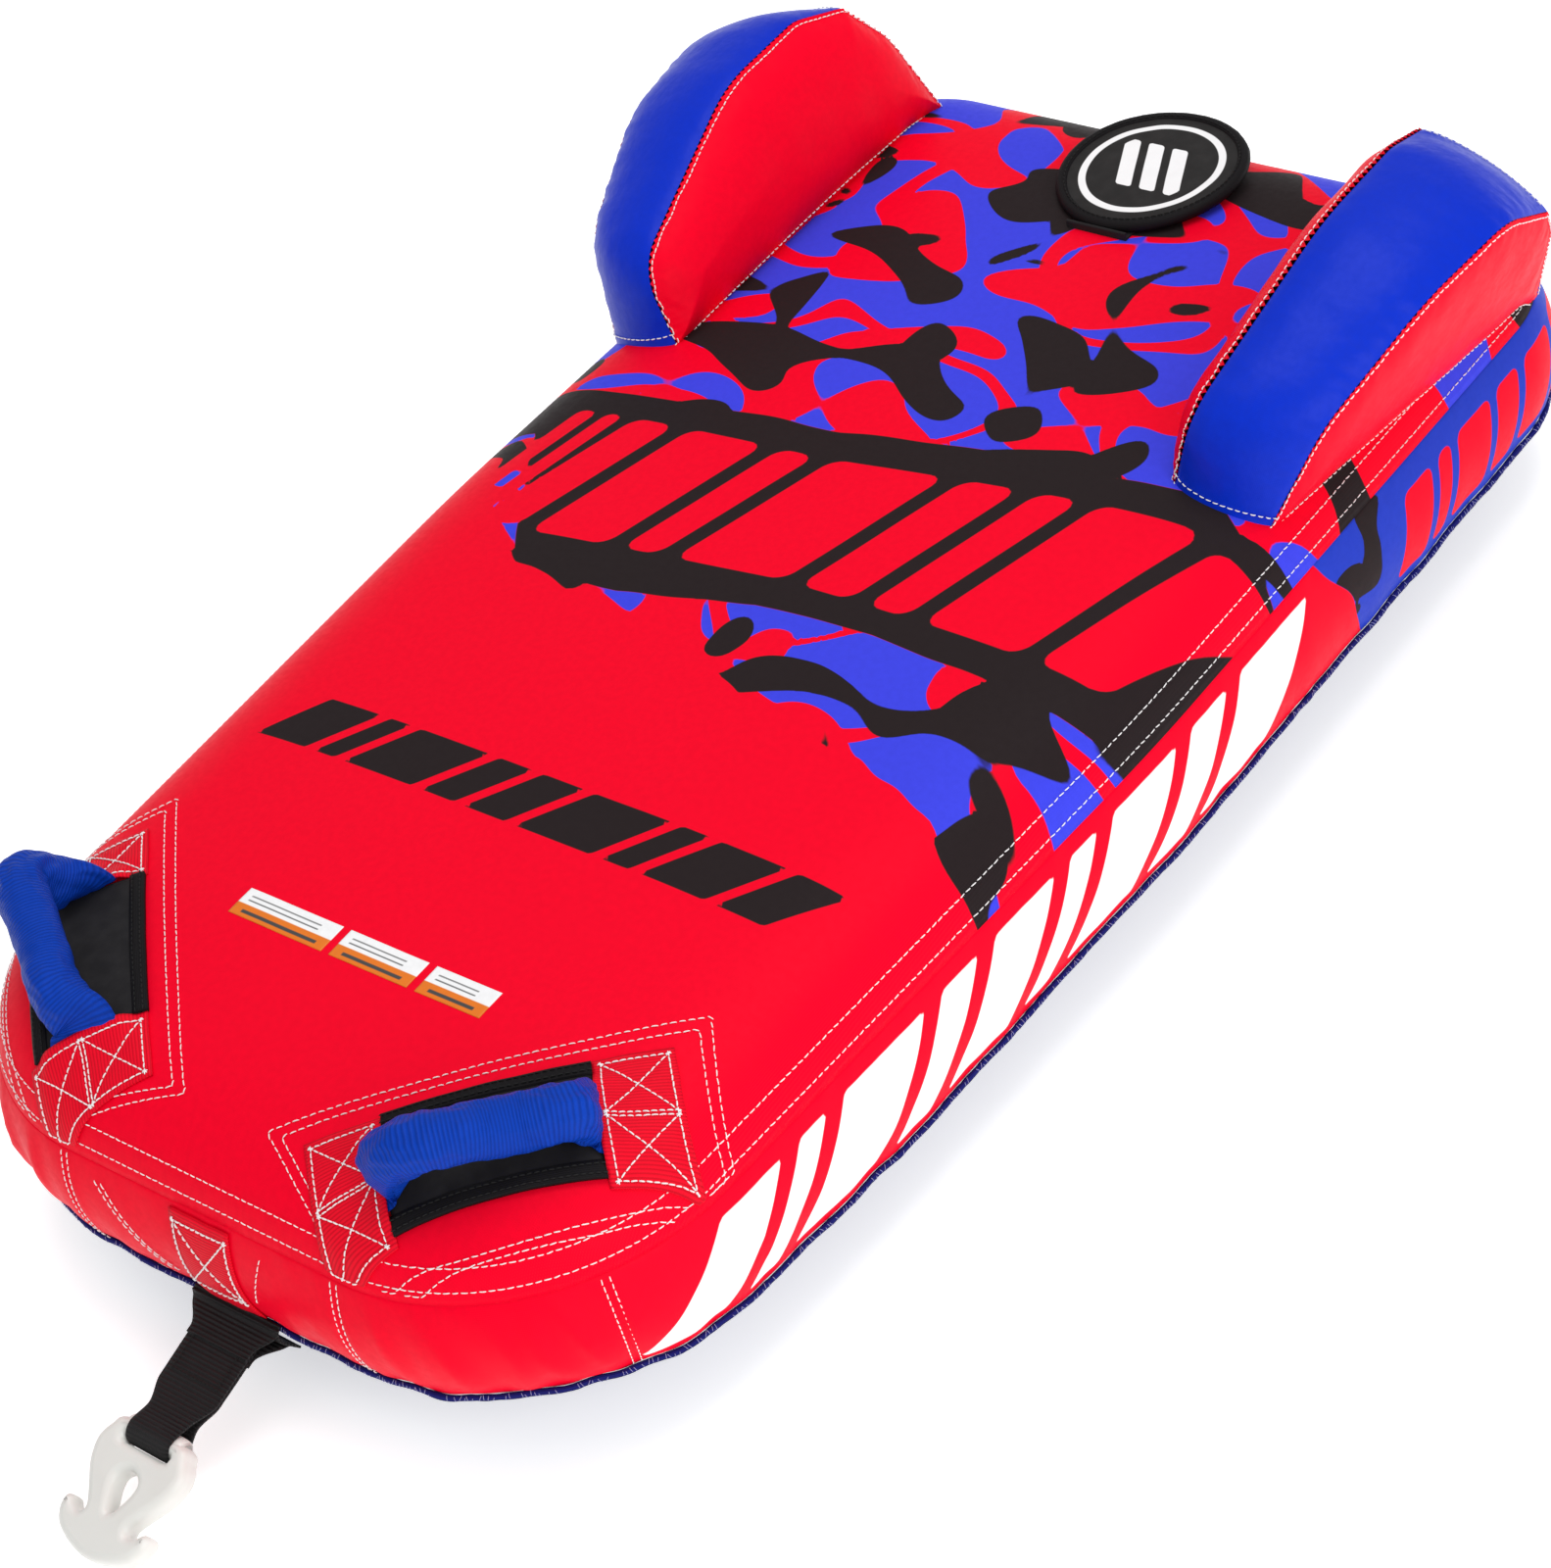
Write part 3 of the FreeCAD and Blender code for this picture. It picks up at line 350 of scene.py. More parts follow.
def piece(name, points, faces, material, body, uv=None, fields=None, away_from=None, smooth=True):
    """A mesh object in metres that rides on a body. away_from turns its faces to look away."""
    points = np.asarray(points, float).reshape(-1, 3)
    faces = [list(map(int, f)) for f in faces]
    if away_from is not None:
        a = points[[f[0] for f in faces]]
        b = points[[f[1] for f in faces]]
        c = points[[f[2] for f in faces]]
        d = points[[f[-1] for f in faces]]
        normals = np.cross(c - a, d - b)
        if np.sum(normals * ((a + c) / 2.0 - np.asarray(away_from, float))) < 0.0:
            faces = [f[::-1] for f in faces]
    mesh = bpy.data.meshes.new(name)
    mesh.from_pydata((points * MM).tolist(), [], faces)
    corners = np.empty(len(mesh.loops), np.int32)
    mesh.loops.foreach_get("vertex_index", corners)
    if uv is not None:
        layer = mesh.uv_layers.new(name="UVMap")
        layer.data.foreach_set("uv", (np.asarray(uv, float).reshape(-1, 2) * MM)[corners].ravel())
    for key, values in (fields or {}).items():
        attribute = mesh.attributes.new(key, "FLOAT", "POINT")
        attribute.data.foreach_set("value", np.asarray(values, np.float32).ravel())
    mesh.update()
    if smooth:
        mesh.shade_smooth()
    mesh.materials.append(material)
    obj = bpy.data.objects.new(name, mesh)
    scene.collection.objects.link(obj)
    if body:
        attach(obj, body)
    return obj


def sweep(path, reference, section):
    """Grid of points round a path: section(i) gives offsets along (side, up) at point i."""
    path = np.asarray(path, float)
    reference = np.broadcast_to(np.asarray(reference, float), path.shape)
    tangent = unit(np.gradient(path, axis=0))
    side = unit(reference - np.sum(tangent * reference, axis=1, keepdims=True) * tangent)
    up = np.cross(side, tangent)
    rings = []
    for i in range(len(path)):
        offsets = section(i)
        rings.append(path[i] + offsets[:, :1] * side[i] + offsets[:, 1:] * up[i])
    return np.array(rings)


def closed_tube(rings):
    """Vertices and faces of a tube with a pole at each end, its caps wound against its sides."""
    rows, columns = rings.shape[:2]
    points = np.vstack([rings.reshape(-1, 3), rings[0].mean(0), rings[-1].mean(0)])
    faces = grid_faces(rows, columns, wrap_columns=True).tolist()
    first, last = rows * columns, rows * columns + 1
    for c in range(columns):
        faces.append([c, (c + 1) % columns, first])
        base = (rows - 1) * columns
        faces.append([base + (c + 1) % columns, base + c, last])
    return points, faces


def capped_faces(rows, columns):
    """Faces of a grid of rings closed by two poles, which are its last two vertices."""
    faces = grid_faces(rows, columns, wrap_columns=True).tolist()
    first, last, base = rows * columns, rows * columns + 1, (rows - 1) * columns
    for c in range(columns):
        faces.append([(c + 1) % columns, c, first])
        faces.append([base + c, base + (c + 1) % columns, last])
    return faces


def plate(name, top, thickness, normals, material, body, uv, fields=None, edge=0.6):
    """Closed plate from a grid of points on its top face, with softly rounded edges."""
    rows, columns = top.shape[:2]
    r = np.minimum(np.arange(rows), np.arange(rows)[::-1])[:, None]
    c = np.minimum(np.arange(columns), np.arange(columns)[::-1])[None, :]
    near = np.minimum(r, c)
    drop = np.where(near == 0, edge, np.where(near == 1, edge * 0.25, 0.0))
    upper = top - normals * drop[..., None]
    lower = top - normals * thickness
    count = rows * columns
    points = np.vstack([upper.reshape(-1, 3), lower.reshape(-1, 3)])
    quads = grid_faces(rows, columns)
    faces = quads.tolist() + (quads[:, ::-1] + count).tolist()
    rim = ([i for i in range(columns)] + [i * columns + columns - 1 for i in range(1, rows)]
           + [(rows - 1) * columns + i for i in range(columns - 2, -1, -1)]
           + [i * columns for i in range(rows - 2, 0, -1)])
    for a, b in zip(rim, rim[1:] + rim[:1]):
        faces.append([b, a, a + count, b + count])
    uv = np.vstack([uv.reshape(-1, 2)] * 2)
    fields = {k: np.concatenate([v.ravel()] * 2) for k, v in (fields or {}).items()}
    centre = lower.reshape(-1, 3).mean(0)
    return piece(name, points, faces, material, body, uv, fields, away_from=centre)


def stitches(name, rows, body, material, pitch=5.4, length=4.2, radius=0.4, seed=1):
    """Rows of thread stitches: each row is a dense list of points and their normals."""
    random = np.random.RandomState(seed)
    ring_count = 6
    angles = np.arange(ring_count) * 2.0 * math.pi / ring_count
    along = np.array([-0.5, -0.42, -0.2, 0.2, 0.42, 0.5]) * length
    rise = np.array([-0.55, 0.0, 0.55, 0.55, 0.0, -0.55]) * radius
    fat = np.array([0.25, 0.8, 1.0, 1.0, 0.8, 0.25]) * radius
    points, faces = [], []
    quads = grid_faces(len(along), ring_count, wrap_columns=True)
    for path, normals in rows:
        path, normals = np.asarray(path, float), np.asarray(normals, float)
        spaced = resample(np.hstack([path, normals]), pitch)
        centre, normal = spaced[:, :3], unit(spaced[:, 3:])
        tangent = unit(np.gradient(centre, axis=0))
        across = unit(np.cross(normal, tangent))
        yaw = random.uniform(-0.13, 0.13, len(centre))[:, None]
        tangent = unit(tangent + across * yaw)
        across = np.cross(normal, tangent)
        scale = random.uniform(0.9, 1.08, len(centre))
        for i in range(len(centre)):
            ring = (centre[i] + tangent[i] * (along * scale[i])[:, None, None]
                    + across[i] * (np.cos(angles)[None, :] * fat[:, None])[..., None]
                    + normal[i] * (np.sin(angles)[None, :] * fat[:, None]
                                   + rise[:, None])[..., None])
            start = len(along) * ring_count * len(points)
            points.append(ring.reshape(-1, 3))
            faces.append(quads + start)
            caps = np.array([[0, 1, 2, 3], [0, 3, 4, 5]]) + start
            faces.append(caps[:, ::-1])
            faces.append(caps + (len(along) - 1) * ring_count)
    return piece(name, np.vstack(points), np.vstack(faces), material, body)


# ---- materials -------------------------------------------------------------------------
class Look:
    """A material's node tree, built one node at a time."""

    def __init__(self, name):
        self.material = bpy.data.materials.new(name)
        self.material.use_nodes = True
        self.tree = self.material.node_tree
        self.tree.nodes.clear()
        output = self.tree.nodes.new("ShaderNodeOutputMaterial")
        self.shader = self.tree.nodes.new("ShaderNodeBsdfPrincipled")
        self.tree.links.new(self.shader.outputs[0], output.inputs[0])

    def set(self, node, key, value):
        socket = node.inputs[key]
        if isinstance(value, bpy.types.NodeSocket):
            self.tree.links.new(value, socket)
        elif isinstance(value, tuple) and len(value) == 3 and socket.type == "RGBA":
            socket.default_value = value + (1.0,)
        else:
            socket.default_value = value

    def add(self, kind, sockets=None, **settings):
        node = self.tree.nodes.new(kind)
        for key, value in settings.items():
            setattr(node, key, value)
        for key, value in (sockets or {}).items():
            self.set(node, key, value)
        return node.outputs

    def surface(self, **values):
        for key, value in values.items():
            self.set(self.shader, key.replace("_", " "), value)

    def math(self, operation, a, b=0.0, c=0.0):
        return self.add("ShaderNodeMath", {0: a, 1: b, 2: c}, operation=operation)[0]

    def field(self, name):
        return self.add("ShaderNodeAttribute", attribute_name=name)["Fac"]

    def step(self, value, low, high, low_out=0.0, high_out=1.0):
        return self.add("ShaderNodeMapRange", {"Value": value, "From Min": low, "From Max": high,
                                               "To Min": low_out, "To Max": high_out},
                        interpolation_type="SMOOTHSTEP")[0]

    def mix(self, share, a, b):
        return self.add("ShaderNodeMix", {0: share, 6: a, 7: b}, data_type="RGBA")[2]

    def uv(self):
        return self.add("ShaderNodeTexCoord")["UV"]

    def place(self):
        return self.add("ShaderNodeTexCoord")["Object"]

    def noise(self, vector, scale, detail=3.0, roughness=0.5):
        return self.add("ShaderNodeTexNoise", {"Vector": vector, "Scale": scale, "Detail": detail,
                                               "Roughness": roughness})[0]

    def split(self, vector):
        return self.add("ShaderNodeSeparateXYZ", {0: vector})

    def wave(self, value, pitch):
        """A smooth wave from 0 to 1 along a coordinate in metres."""
        turned = self.math("MULTIPLY", value, 2.0 * math.pi / pitch)
        return self.math("MULTIPLY_ADD", self.math("SINE", turned), 0.5, 0.5)

    def bump(self, height, distance, strength=1.0, under=None):
        sockets = {"Height": height, "Distance": distance, "Strength": strength}
        if under is not None:
            sockets["Normal"] = under
        return self.add("ShaderNodeBump", sockets)[0]


def woven(name, base, inks=(), pitch=0.0011, gloss=0.46, crease=0.0005, crease_scale=26.0,
          specular=0.03):
    """Coated cloth: flat printed inks over a base colour, a fine weave with a painted highlight on its
    crowns, and soft creases.
    """
    look = Look(name)
    colour = base
    for key, ink in inks:
        colour = look.mix(look.step(look.field(key), -0.45, 0.45), colour, ink)
    uv = look.uv()
    parts = look.split(uv)
    cloth = look.math("MULTIPLY", look.wave(parts[0], pitch), look.wave(parts[1], pitch))
    mottle = look.noise(uv, 190.0, 4.0, 0.6)
    shade = look.step(mottle, 0.25, 0.75, 0.0, 0.12)
    colour = look.mix(shade, colour, look.mix(0.6, colour, (0.0, 0.0, 0.0)))
    # Painted highlight: the raised crowns of the weave are lightened towards white.
    thread = look.math("MULTIPLY", cloth, 0.004)
    colour = look.mix(thread, colour, (0.9, 0.9, 0.9))
    soft = look.bump(look.noise(uv, crease_scale, 3.0), crease, 0.8)
    fine = look.bump(cloth, 0.00004, 0.55, soft)
    rough = look.step(mottle, 0.2, 0.8, gloss - 0.05, gloss + 0.07)
    look.surface(Base_Color=colour, Roughness=rough, Normal=fine, Specular_IOR_Level=specular)
    return look.material


def webbing(name, base, pitch=0.0026, depth=0.00028, gloss=0.5, specular=0.06):
    """Ribbed webbing: ribs across, fine threads along them, and painted shade in the grooves."""
    look = Look(name)
    uv = look.uv()
    parts = look.split(uv)
    ribs = look.wave(parts[1], pitch)
    threads = look.wave(parts[0], 0.0007)
    fuzz = look.noise(uv, 900.0, 3.0, 0.6)
    height = look.math("ADD", ribs, look.math("MULTIPLY", threads, 0.22))
    height = look.math("ADD", height, look.math("MULTIPLY", fuzz, 0.25))
    # Painted shade: colour darkened in the grooves between the ribs, where shade would fall.
    groove_shade = look.step(ribs, 0.0, 0.7, 0.42, 0.0)
    colour = look.mix(groove_shade, base, look.mix(0.7, base, (0.0, 0.0, 0.0)))
    tint = look.step(look.noise(uv, 60.0, 2.0), 0.3, 0.7, 0.0, 0.12)
    colour = look.mix(tint, colour, look.mix(0.5, base, (0.0, 0.0, 0.0)))
    look.surface(Base_Color=colour, Roughness=gloss, Normal=look.bump(height, depth, 0.9),
                 Specular_IOR_Level=specular)
    return look.material


def neoprene(name, base, inks=()):
    """Knit-faced rubber sheet: matt, with a fine grain."""
    look = Look(name)
    colour = base
    for key, ink in inks:
        colour = look.mix(look.step(look.field(key), -0.3, 0.3), colour, ink)
    uv = look.uv()
    grain = look.noise(uv, 1500.0, 2.0, 0.7)
    mottle = look.noise(uv, 70.0, 3.0)
    colour = look.mix(look.step(mottle, 0.3, 0.8, 0.0, 0.04), colour, (0.2, 0.19, 0.19))
    fine = look.bump(grain, 0.00006, 0.7, look.bump(mottle, 0.0005, 0.5))
    look.surface(Base_Color=colour, Roughness=0.72, Normal=fine, Sheen_Weight=0.03,
                 Specular_IOR_Level=0.15)
    return look.material


def moulded(name, base, rough=0.42, subsurface=0.0, grain=0.00003, metallic=0.0):
    """Moulded plastic or plated metal with slight flow marks and handling wear."""
    look = Look(name)
    place = look.place()
    flow = look.noise(place, 35.0, 4.0, 0.55)
    fine = look.noise(place, 1400.0, 2.0)
    colour = look.mix(look.step(flow, 0.3, 0.75, 0.0, 0.12), base,
                      look.mix(0.55, base, (0.35, 0.31, 0.26)))
    look.surface(Base_Color=colour, Roughness=look.step(flow, 0.2, 0.8, rough - 0.08, rough + 0.08),
                 Normal=look.bump(fine, grain, 0.5), Metallic=metallic)
    if subsurface:
        look.surface(Subsurface_Weight=subsurface, Subsurface_Radius=(0.004, 0.004, 0.0035),
                     Subsurface_Scale=1.0)
    return look.material


DECK_CLOTH = woven("printed_deck", RED, [("ink_violet", VIOLET), ("ink_black", PRINT_BLACK)],
                   gloss=0.44)
WALL_CLOTH = woven("printed_wall", RED, [("ink_violet", WALL_BLUE), ("ink_black", PRINT_BLACK),
                                         ("ink_red", RED), ("ink_white", PRINT_WHITE)], gloss=0.4)
RED_CLOTH = woven("red_cloth", RED, gloss=0.4, crease=0.0009)
DARK_RED_CLOTH = woven("dark_red_cloth", DARK_RED, gloss=0.42)
BLUE_CLOTH = woven("blue_cloth", ROYAL, gloss=0.36, crease=0.0016, crease_scale=34.0,
                   specular=0.1)
NAVY_CLOTH = woven("navy_cloth", NAVY, gloss=0.5)
PIPING = webbing("piping_tape", (0.012, 0.014, 0.16), pitch=0.0016, depth=0.0003, gloss=0.6)
FUZZ = webbing("overlock_thread", (0.34, 0.35, 0.62), pitch=0.0009, depth=0.00003, gloss=0.8)
RED_WEB = webbing("red_webbing", (0.80, 0.003, 0.020), pitch=0.0021, depth=0.00016)
BLACK_WEB = webbing("black_webbing", (0.017, 0.016, 0.017), pitch=0.0029, depth=0.0009,
                    gloss=0.5, specular=0.14)
BLUE_WEB = webbing("blue_webbing", HANDLE_BLUE, pitch=0.0023, depth=0.00035, gloss=0.42)
TAPE = webbing("black_binding", (0.010, 0.009, 0.010), pitch=0.0011, depth=0.0001, gloss=0.55)
RUBBER = neoprene("black_neoprene", (0.009, 0.008, 0.009))
DISC_RUBBER = neoprene("printed_neoprene", (0.014, 0.013, 0.013), [("ink_white", (0.85, 0.85, 0.86))])
THREAD = webbing("white_thread", (0.86, 0.84, 0.84), pitch=0.0009, depth=0.00003, gloss=0.7)
BLACK_THREAD = webbing("black_thread", (0.02, 0.02, 0.02), pitch=0.0009, depth=0.00003, gloss=0.6)
NYLON = moulded("milky_nylon", (0.70, 0.70, 0.67), rough=0.36, subsurface=0.2)
VINYL = moulded("bladder_vinyl", (0.03, 0.032, 0.045), rough=0.35)
PLASTIC = moulded("black_plastic", (0.018, 0.018, 0.02), rough=0.4)
FOAM = moulded("grip_foam", (0.02, 0.02, 0.02), rough=0.9, grain=0.0002)
METAL = moulded("plated_metal", (0.62, 0.61, 0.60), rough=0.28, metallic=1.0)
HOOK_TAPE = webbing("hook_tape", (0.014, 0.014, 0.014), pitch=0.0012, depth=0.0004, gloss=0.8)


# ---- prints ----------------------------------------------------------------------------
CAMO_FRONT = [(-330, 60), (-258, 29), (-231, -18), (-164, -58), (-92, -71), (-19, -77),
              (73, -110), (131, -114), (179, -127), (243, -151), (289, -176), (330, -196)]
BAND = [(-246, 66), (-158, -58), (-73, -55), (25, -30), (117, -24), (226, -28), (330, -24),
        (330, 60), (300, 126), (243, 161), (175, 149), (80, 140), (-29, 120), (-149, 108),
        (-300, 96), (-300, 62)]


def camo(x, y, scale=1.0):
    """Fields of a three-colour camouflage: (violet, black), positive where it is that ink."""
    wx = x / scale + 24.0 * clouds(x / 96.0, y / 96.0, 11)
    wy = y / scale + 24.0 * clouds(x / 96.0, y / 96.0, 12)
    violet = clouds(wx / 84.0, wy / 58.0, 15) * 85.0 + 4.0
    path = np.abs(clouds(wx / 150.0 + 5.0, wy / 110.0, 19)) * 190.0 - 8.0
    black = clouds(wx / 96.0 + 3.0, wy / 54.0 + 5.0, 16) * 85.0 - 13.0
    other = clouds(wx / 60.0 + 1.0, wy / 72.0 + 2.0, 29) * 75.0 - 24.0
    return np.minimum(violet, path), np.maximum(black, other)


def rounded_box(u, v, half_u, half_v, radius):
    """Distance field of a rounded rectangle round 0, 0, positive inside."""
    du, dv = np.abs(u) - half_u + radius, np.abs(v) - half_v + radius
    outside = np.hypot(np.maximum(du, 0.0), np.maximum(dv, 0.0))
    return radius - outside - np.minimum(np.maximum(du, dv), 0.0)


def bars(u, v, height, widths, gap, start, slant, radius):
    """Row of slanted rounded blocks from start along u, positive inside; v runs 0 to height."""
    best = np.full(np.shape(u), -40.0)
    at = start
    for width in widths:
        local = u - at - slant * v / height - width / 2.0
        best = np.maximum(best, rounded_box(local, v - height / 2.0, width / 2.0, height / 2.0,
                                            radius))
        at += width + gap
    return best


def deck_inks(x, y):
    """Fields of the deck's violet and black: camouflage at the nose, blocks across, a word."""
    front = np.array(CAMO_FRONT, float)
    wobble = 11.0 * clouds(x / 34.0, y / 34.0, 41)
    zone = y - np.interp(x, front[:, 0], front[:, 1]) + wobble
    violet, black = camo(x, y)
    violet, black = np.minimum(violet, zone), np.minimum(black, zone + 4.0)
    band = polygon_field(x, y, BAND) + 9.0 + 3.0 * clouds(x / 50.0, y / 50.0, 42)
    black = np.maximum(black, band)
    violet = np.minimum(violet, -band)
    low = np.interp(x, [-170, 25, 226, 330], [-36, -12, -8, -4])
    high = np.interp(x, [-240, -29, 175, 243, 330], [86, 100, 131, 140, 128])
    share = (y - low) / (high - low)
    tall = share * 122.0
    blocks = bars(x, tall, 122.0, [34, 62, 28, 84, 40, 30, 72, 46], 14.0, -222.0, 40.0, 10.0)
    edge = bars(x, tall, 122.0, [16, 14], 9.0, -262.0, 30.0, 6.0)
    blocks = np.maximum(blocks, edge)
    black = np.minimum(black, -blocks)
    violet = np.minimum(violet, -blocks)
    word = bars(x, y + 267.0, 44.0, [46, 18, 60, 28, 34, 62, 22, 50, 36], 9.0, -218.0, 30.0, 1.5)
    return violet, np.maximum(black, word)


def wall_inks(y, z):
    """Fields of the side wall's inks: violet at the rear, black, red spots and white word."""
    height = (z - 72.0) / 66.0
    rear_from = 192.0 + 26.0 * (1.0 - height) + 10.0 * clouds(z / 40.0, y / 40.0, 51)
    rear = np.minimum(y - rear_from, 30.0)
    _, black = camo(y + 700.0, z * 1.4, 0.8)
    black = np.minimum(np.minimum(black, rear), 214.0 + 60.0 * height - y)
    spots = bars(y, z - 74.0, 58.0, [34, 16, 42, 28, 38, 24], 9.0, 262.0, 20.0, 6.0)
    word = bars(y, z - 72.0, 66.0, [52, 24, 74, 34, 58, 26, 66, 40, 78], 17.0, -490.0, 68.0, 2.0)
    return rear, black, np.minimum(spots, rear), word


# ---- cover -----------------------------------------------------------------------------
VALVE = np.array([8.0, 451.0])
VALVE_HOLE_R = 46.0
FLAP_R = 69.0
FLAP_FACE_R = 65.0
FLAP_THREAD_R = 62.4


def spine(plan):
    """Points of the body's middle line, level in Y with plan points."""
    return np.stack([np.zeros(len(plan)), np.clip(plan[:, 1], -SPINE_END, SPINE_END)], 1)


def wall_out(index):
    """Level outward directions at outline points."""
    return np.hstack([SEAM_OUT[index], np.zeros((len(index), 1))])


def deck_cover():
    """The whole printed deck, from the top seam to the middle, with the valve's hole."""
    ring_at = [0.0, 1.5, 3.5, 6.0, 9.0, 12.5, 16.5, 21.0, 26.0, 31.0, 36.5, 42.0, 48.0, 54.0, 60.0]
    plan = [SEAM - SEAM_OUT * d for d in ring_at]
    edge = plan[-1]
    middle = spine(edge)
    for share in np.linspace(0.0, 1.0, 72)[1:]:
        plan.append(edge * (1.0 - share) + middle * share)
    plan = np.array(plan)
    x, y = plan[..., 0], plan[..., 1]
    points = deck_point(x, y)[0]
    for row, d in enumerate(ring_at):
        pucker = 0.7 * math.exp(-d / 9.0) * clouds(SEAM_RUN / 9.0, 0.5, 61)
        fold = 0.8 * math.exp(-((d - 2.6) / 1.6) ** 2)
        height = deck_height(d) + deck_rise(x[row], y[row]) * float(ease(0.0, SEAM_CALM, d))
        height = height + (pucker if d > 0 else 0.0) + fold
        points[row] = np.stack([x[row], y[row], height], 1)
    tuck = points[0] - np.hstack([SEAM_OUT * SEAM_TUCK, np.full((len(SEAM), 1), 1.5)])
    points = np.concatenate([tuck[None], points])
    plan = np.concatenate([plan[:1], plan])
    rows, columns = points.shape[:2]
    faces = grid_faces(rows, columns, wrap_columns=True)
    flat = points.reshape(-1, 3)
    gap = flat[:, :2] - VALVE
    radius = np.hypot(gap[:, 0], gap[:, 1])
    inside = radius < VALVE_HOLE_R
    faces = faces[~np.all(inside[faces], axis=1)]
    used = np.unique(faces)
    rim = used[inside[used]]
    flat[rim, :2] = VALVE + gap[rim] / radius[rim, None] * VALVE_HOLE_R
    flat[rim, 2] = deck_point(flat[rim, 0], flat[rim, 1])[0][:, 2]
    renumber = np.full(len(flat), -1)
    renumber[used] = np.arange(len(used))
    violet, black = deck_inks(plan[..., 0].ravel()[used], plan[..., 1].ravel()[used])
    faces = renumber[faces]
    faces = [list(dict.fromkeys(f)) for f in faces.tolist()]
    obj = piece("deck_cover", flat[used], faces, DECK_CLOTH, "root",
                plan.reshape(-1, 2)[used], {"ink_violet": violet, "ink_black": black},
                away_from=(0.0, 0.0, -5000.0))
    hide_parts("deck_panel")


def wall_panel(name, first, last, node, material):
    """One panel of the side wall, between two joints of the outline."""
    if last <= first:
        last += len(SEAM)
    index = np.arange(first, last + 1)
    shares = np.concatenate([[0.0, 0.02, 0.05], np.linspace(0.09, 0.93, 24), [0.965, 0.985, 1.0]])
    points = wall_point(index[None, :], shares[:, None])
    out = wall_out(index % len(SEAM))
    low = points[0] - out * SEAM_TUCK
    high = points[-1] - out * SEAM_TUCK
    points = np.concatenate([low[None], points, high[None]])
    shares = np.concatenate([[0.0], shares, [1.0]])
    run = SEAM_RUN[index % len(SEAM)] + np.where(index >= len(SEAM), SEAM_LENGTH, 0.0)
    uv = np.stack(np.broadcast_arrays(run[None, :], points[..., 2]), -1)
    plain = SEAM[index % len(SEAM)]
    z = BOTTOM_SEAM_Z + (TOP_SEAM_Z - BOTTOM_SEAM_Z) * shares
    z = np.broadcast_to(z[:, None], points.shape[:2])
    rear, black, red, white = wall_inks(np.broadcast_to(plain[:, 1], z.shape), z)
    fields = {"ink_violet": rear, "ink_black": black, "ink_red": red, "ink_white": white}
    obj = piece(name, points, grid_faces(*points.shape[:2]), material, "root", uv, fields,
                away_from=(0.0, 0.0, 106.0))
    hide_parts(node)


def bottom_cover():
    """Belly of the cover: tucks in below the bottom seam and lies flat on the ground."""
    index = np.arange(len(SEAM))
    seam_z, seam_out = bottom_seam(index)
    half_width, _, corner_r = SEAM_CORNERS[3]
    rows = []
    for inward, z in BELLY:
        share = inward / BELLY[-1, 0]
        lifted = z + (seam_z - BOTTOM_SEAM_Z) * (1.0 - share) ** 2
        folds = 1.6 * clouds(SEAM_RUN / 21.0, 3.5, 71) * math.exp(-share / 0.3)
        shift = seam_out * (1.0 - share) - inward
        plan = SEAM + SEAM_OUT * shift[:, None]
        if inward > corner_r:
            level = half_width - inward
            behind = plan[:, 1] > TAIL_Y - inward - corner_r
            plan[:, 0] = np.where(behind, np.clip(plan[:, 0], -level, level), plan[:, 0])
            plan[:, 1] = np.minimum(plan[:, 1], TAIL_Y - inward)
        height = np.maximum(lifted + (folds if inward > 0 else 0.0) * (1.0 - share), 0.0)
        rows.append(np.hstack([plan, height[:, None]]))
    edge = rows[-1][:, :2]
    middle = spine(edge)
    for share in np.linspace(0.0, 1.0, 10)[1:]:
        plan = edge * (1.0 - share) + middle * share
        rows.append(np.hstack([plan, np.zeros((len(SEAM), 1))]))
    points = np.array(rows)
    obj = piece("bottom_cover", points, grid_faces(*points.shape[:2], wrap_columns=True),
                NAVY_CLOTH, "root", points[..., :2], away_from=(0.0, 0.0, 5000.0))
    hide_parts("bottom_panel")


def bladder_skin():
    """Air bladder inside the cover. Its tail corners fold back and dip 1.3 mm below the belly."""
    levels = [(inward, max(z, BLADDER_LOW_Z) + 8.0 * (inward < 60.0)) for inward, z in BELLY[::-3]]
    for inward, z in PROFILE[::4]:
        levels.append((min(inward, BLADDER_TOP_INWARD), z - BLADDER_INSET))
        if inward > BLADDER_TOP_INWARD:
            break
    rows = [np.hstack([SEAM - SEAM_OUT * (inward + BLADDER_INSET), np.full((len(SEAM), 1), z)])
            for inward, z in levels]
    flat = np.array(rows)[:, ::4]
    caps = []
    for row, sign in ((flat[0], -1), (flat[-1], 1)):
        middle = spine(row)
        ladder = []
        for share in np.linspace(0.0, 1.0, 9)[1:]:
            plan = row[:, :2] * (1.0 - share) + middle * share
            if sign > 0:
                z = deck_point(plan[:, 0], plan[:, 1])[0][:, 2] - BLADDER_INSET
            else:
                z = np.full(len(row), BLADDER_LOW_Z)
            ladder.append(np.hstack([plan, z[:, None]]))
        caps.append(np.array(ladder))
    points = np.concatenate([caps[0][::-1], flat, caps[1]])
    obj = piece("air_bladder", points, grid_faces(*points.shape[:2], wrap_columns=True), VINYL,
                "root", points[..., :2], away_from=(0.0, 0.0, 100.0))
    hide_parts("main_bladder")


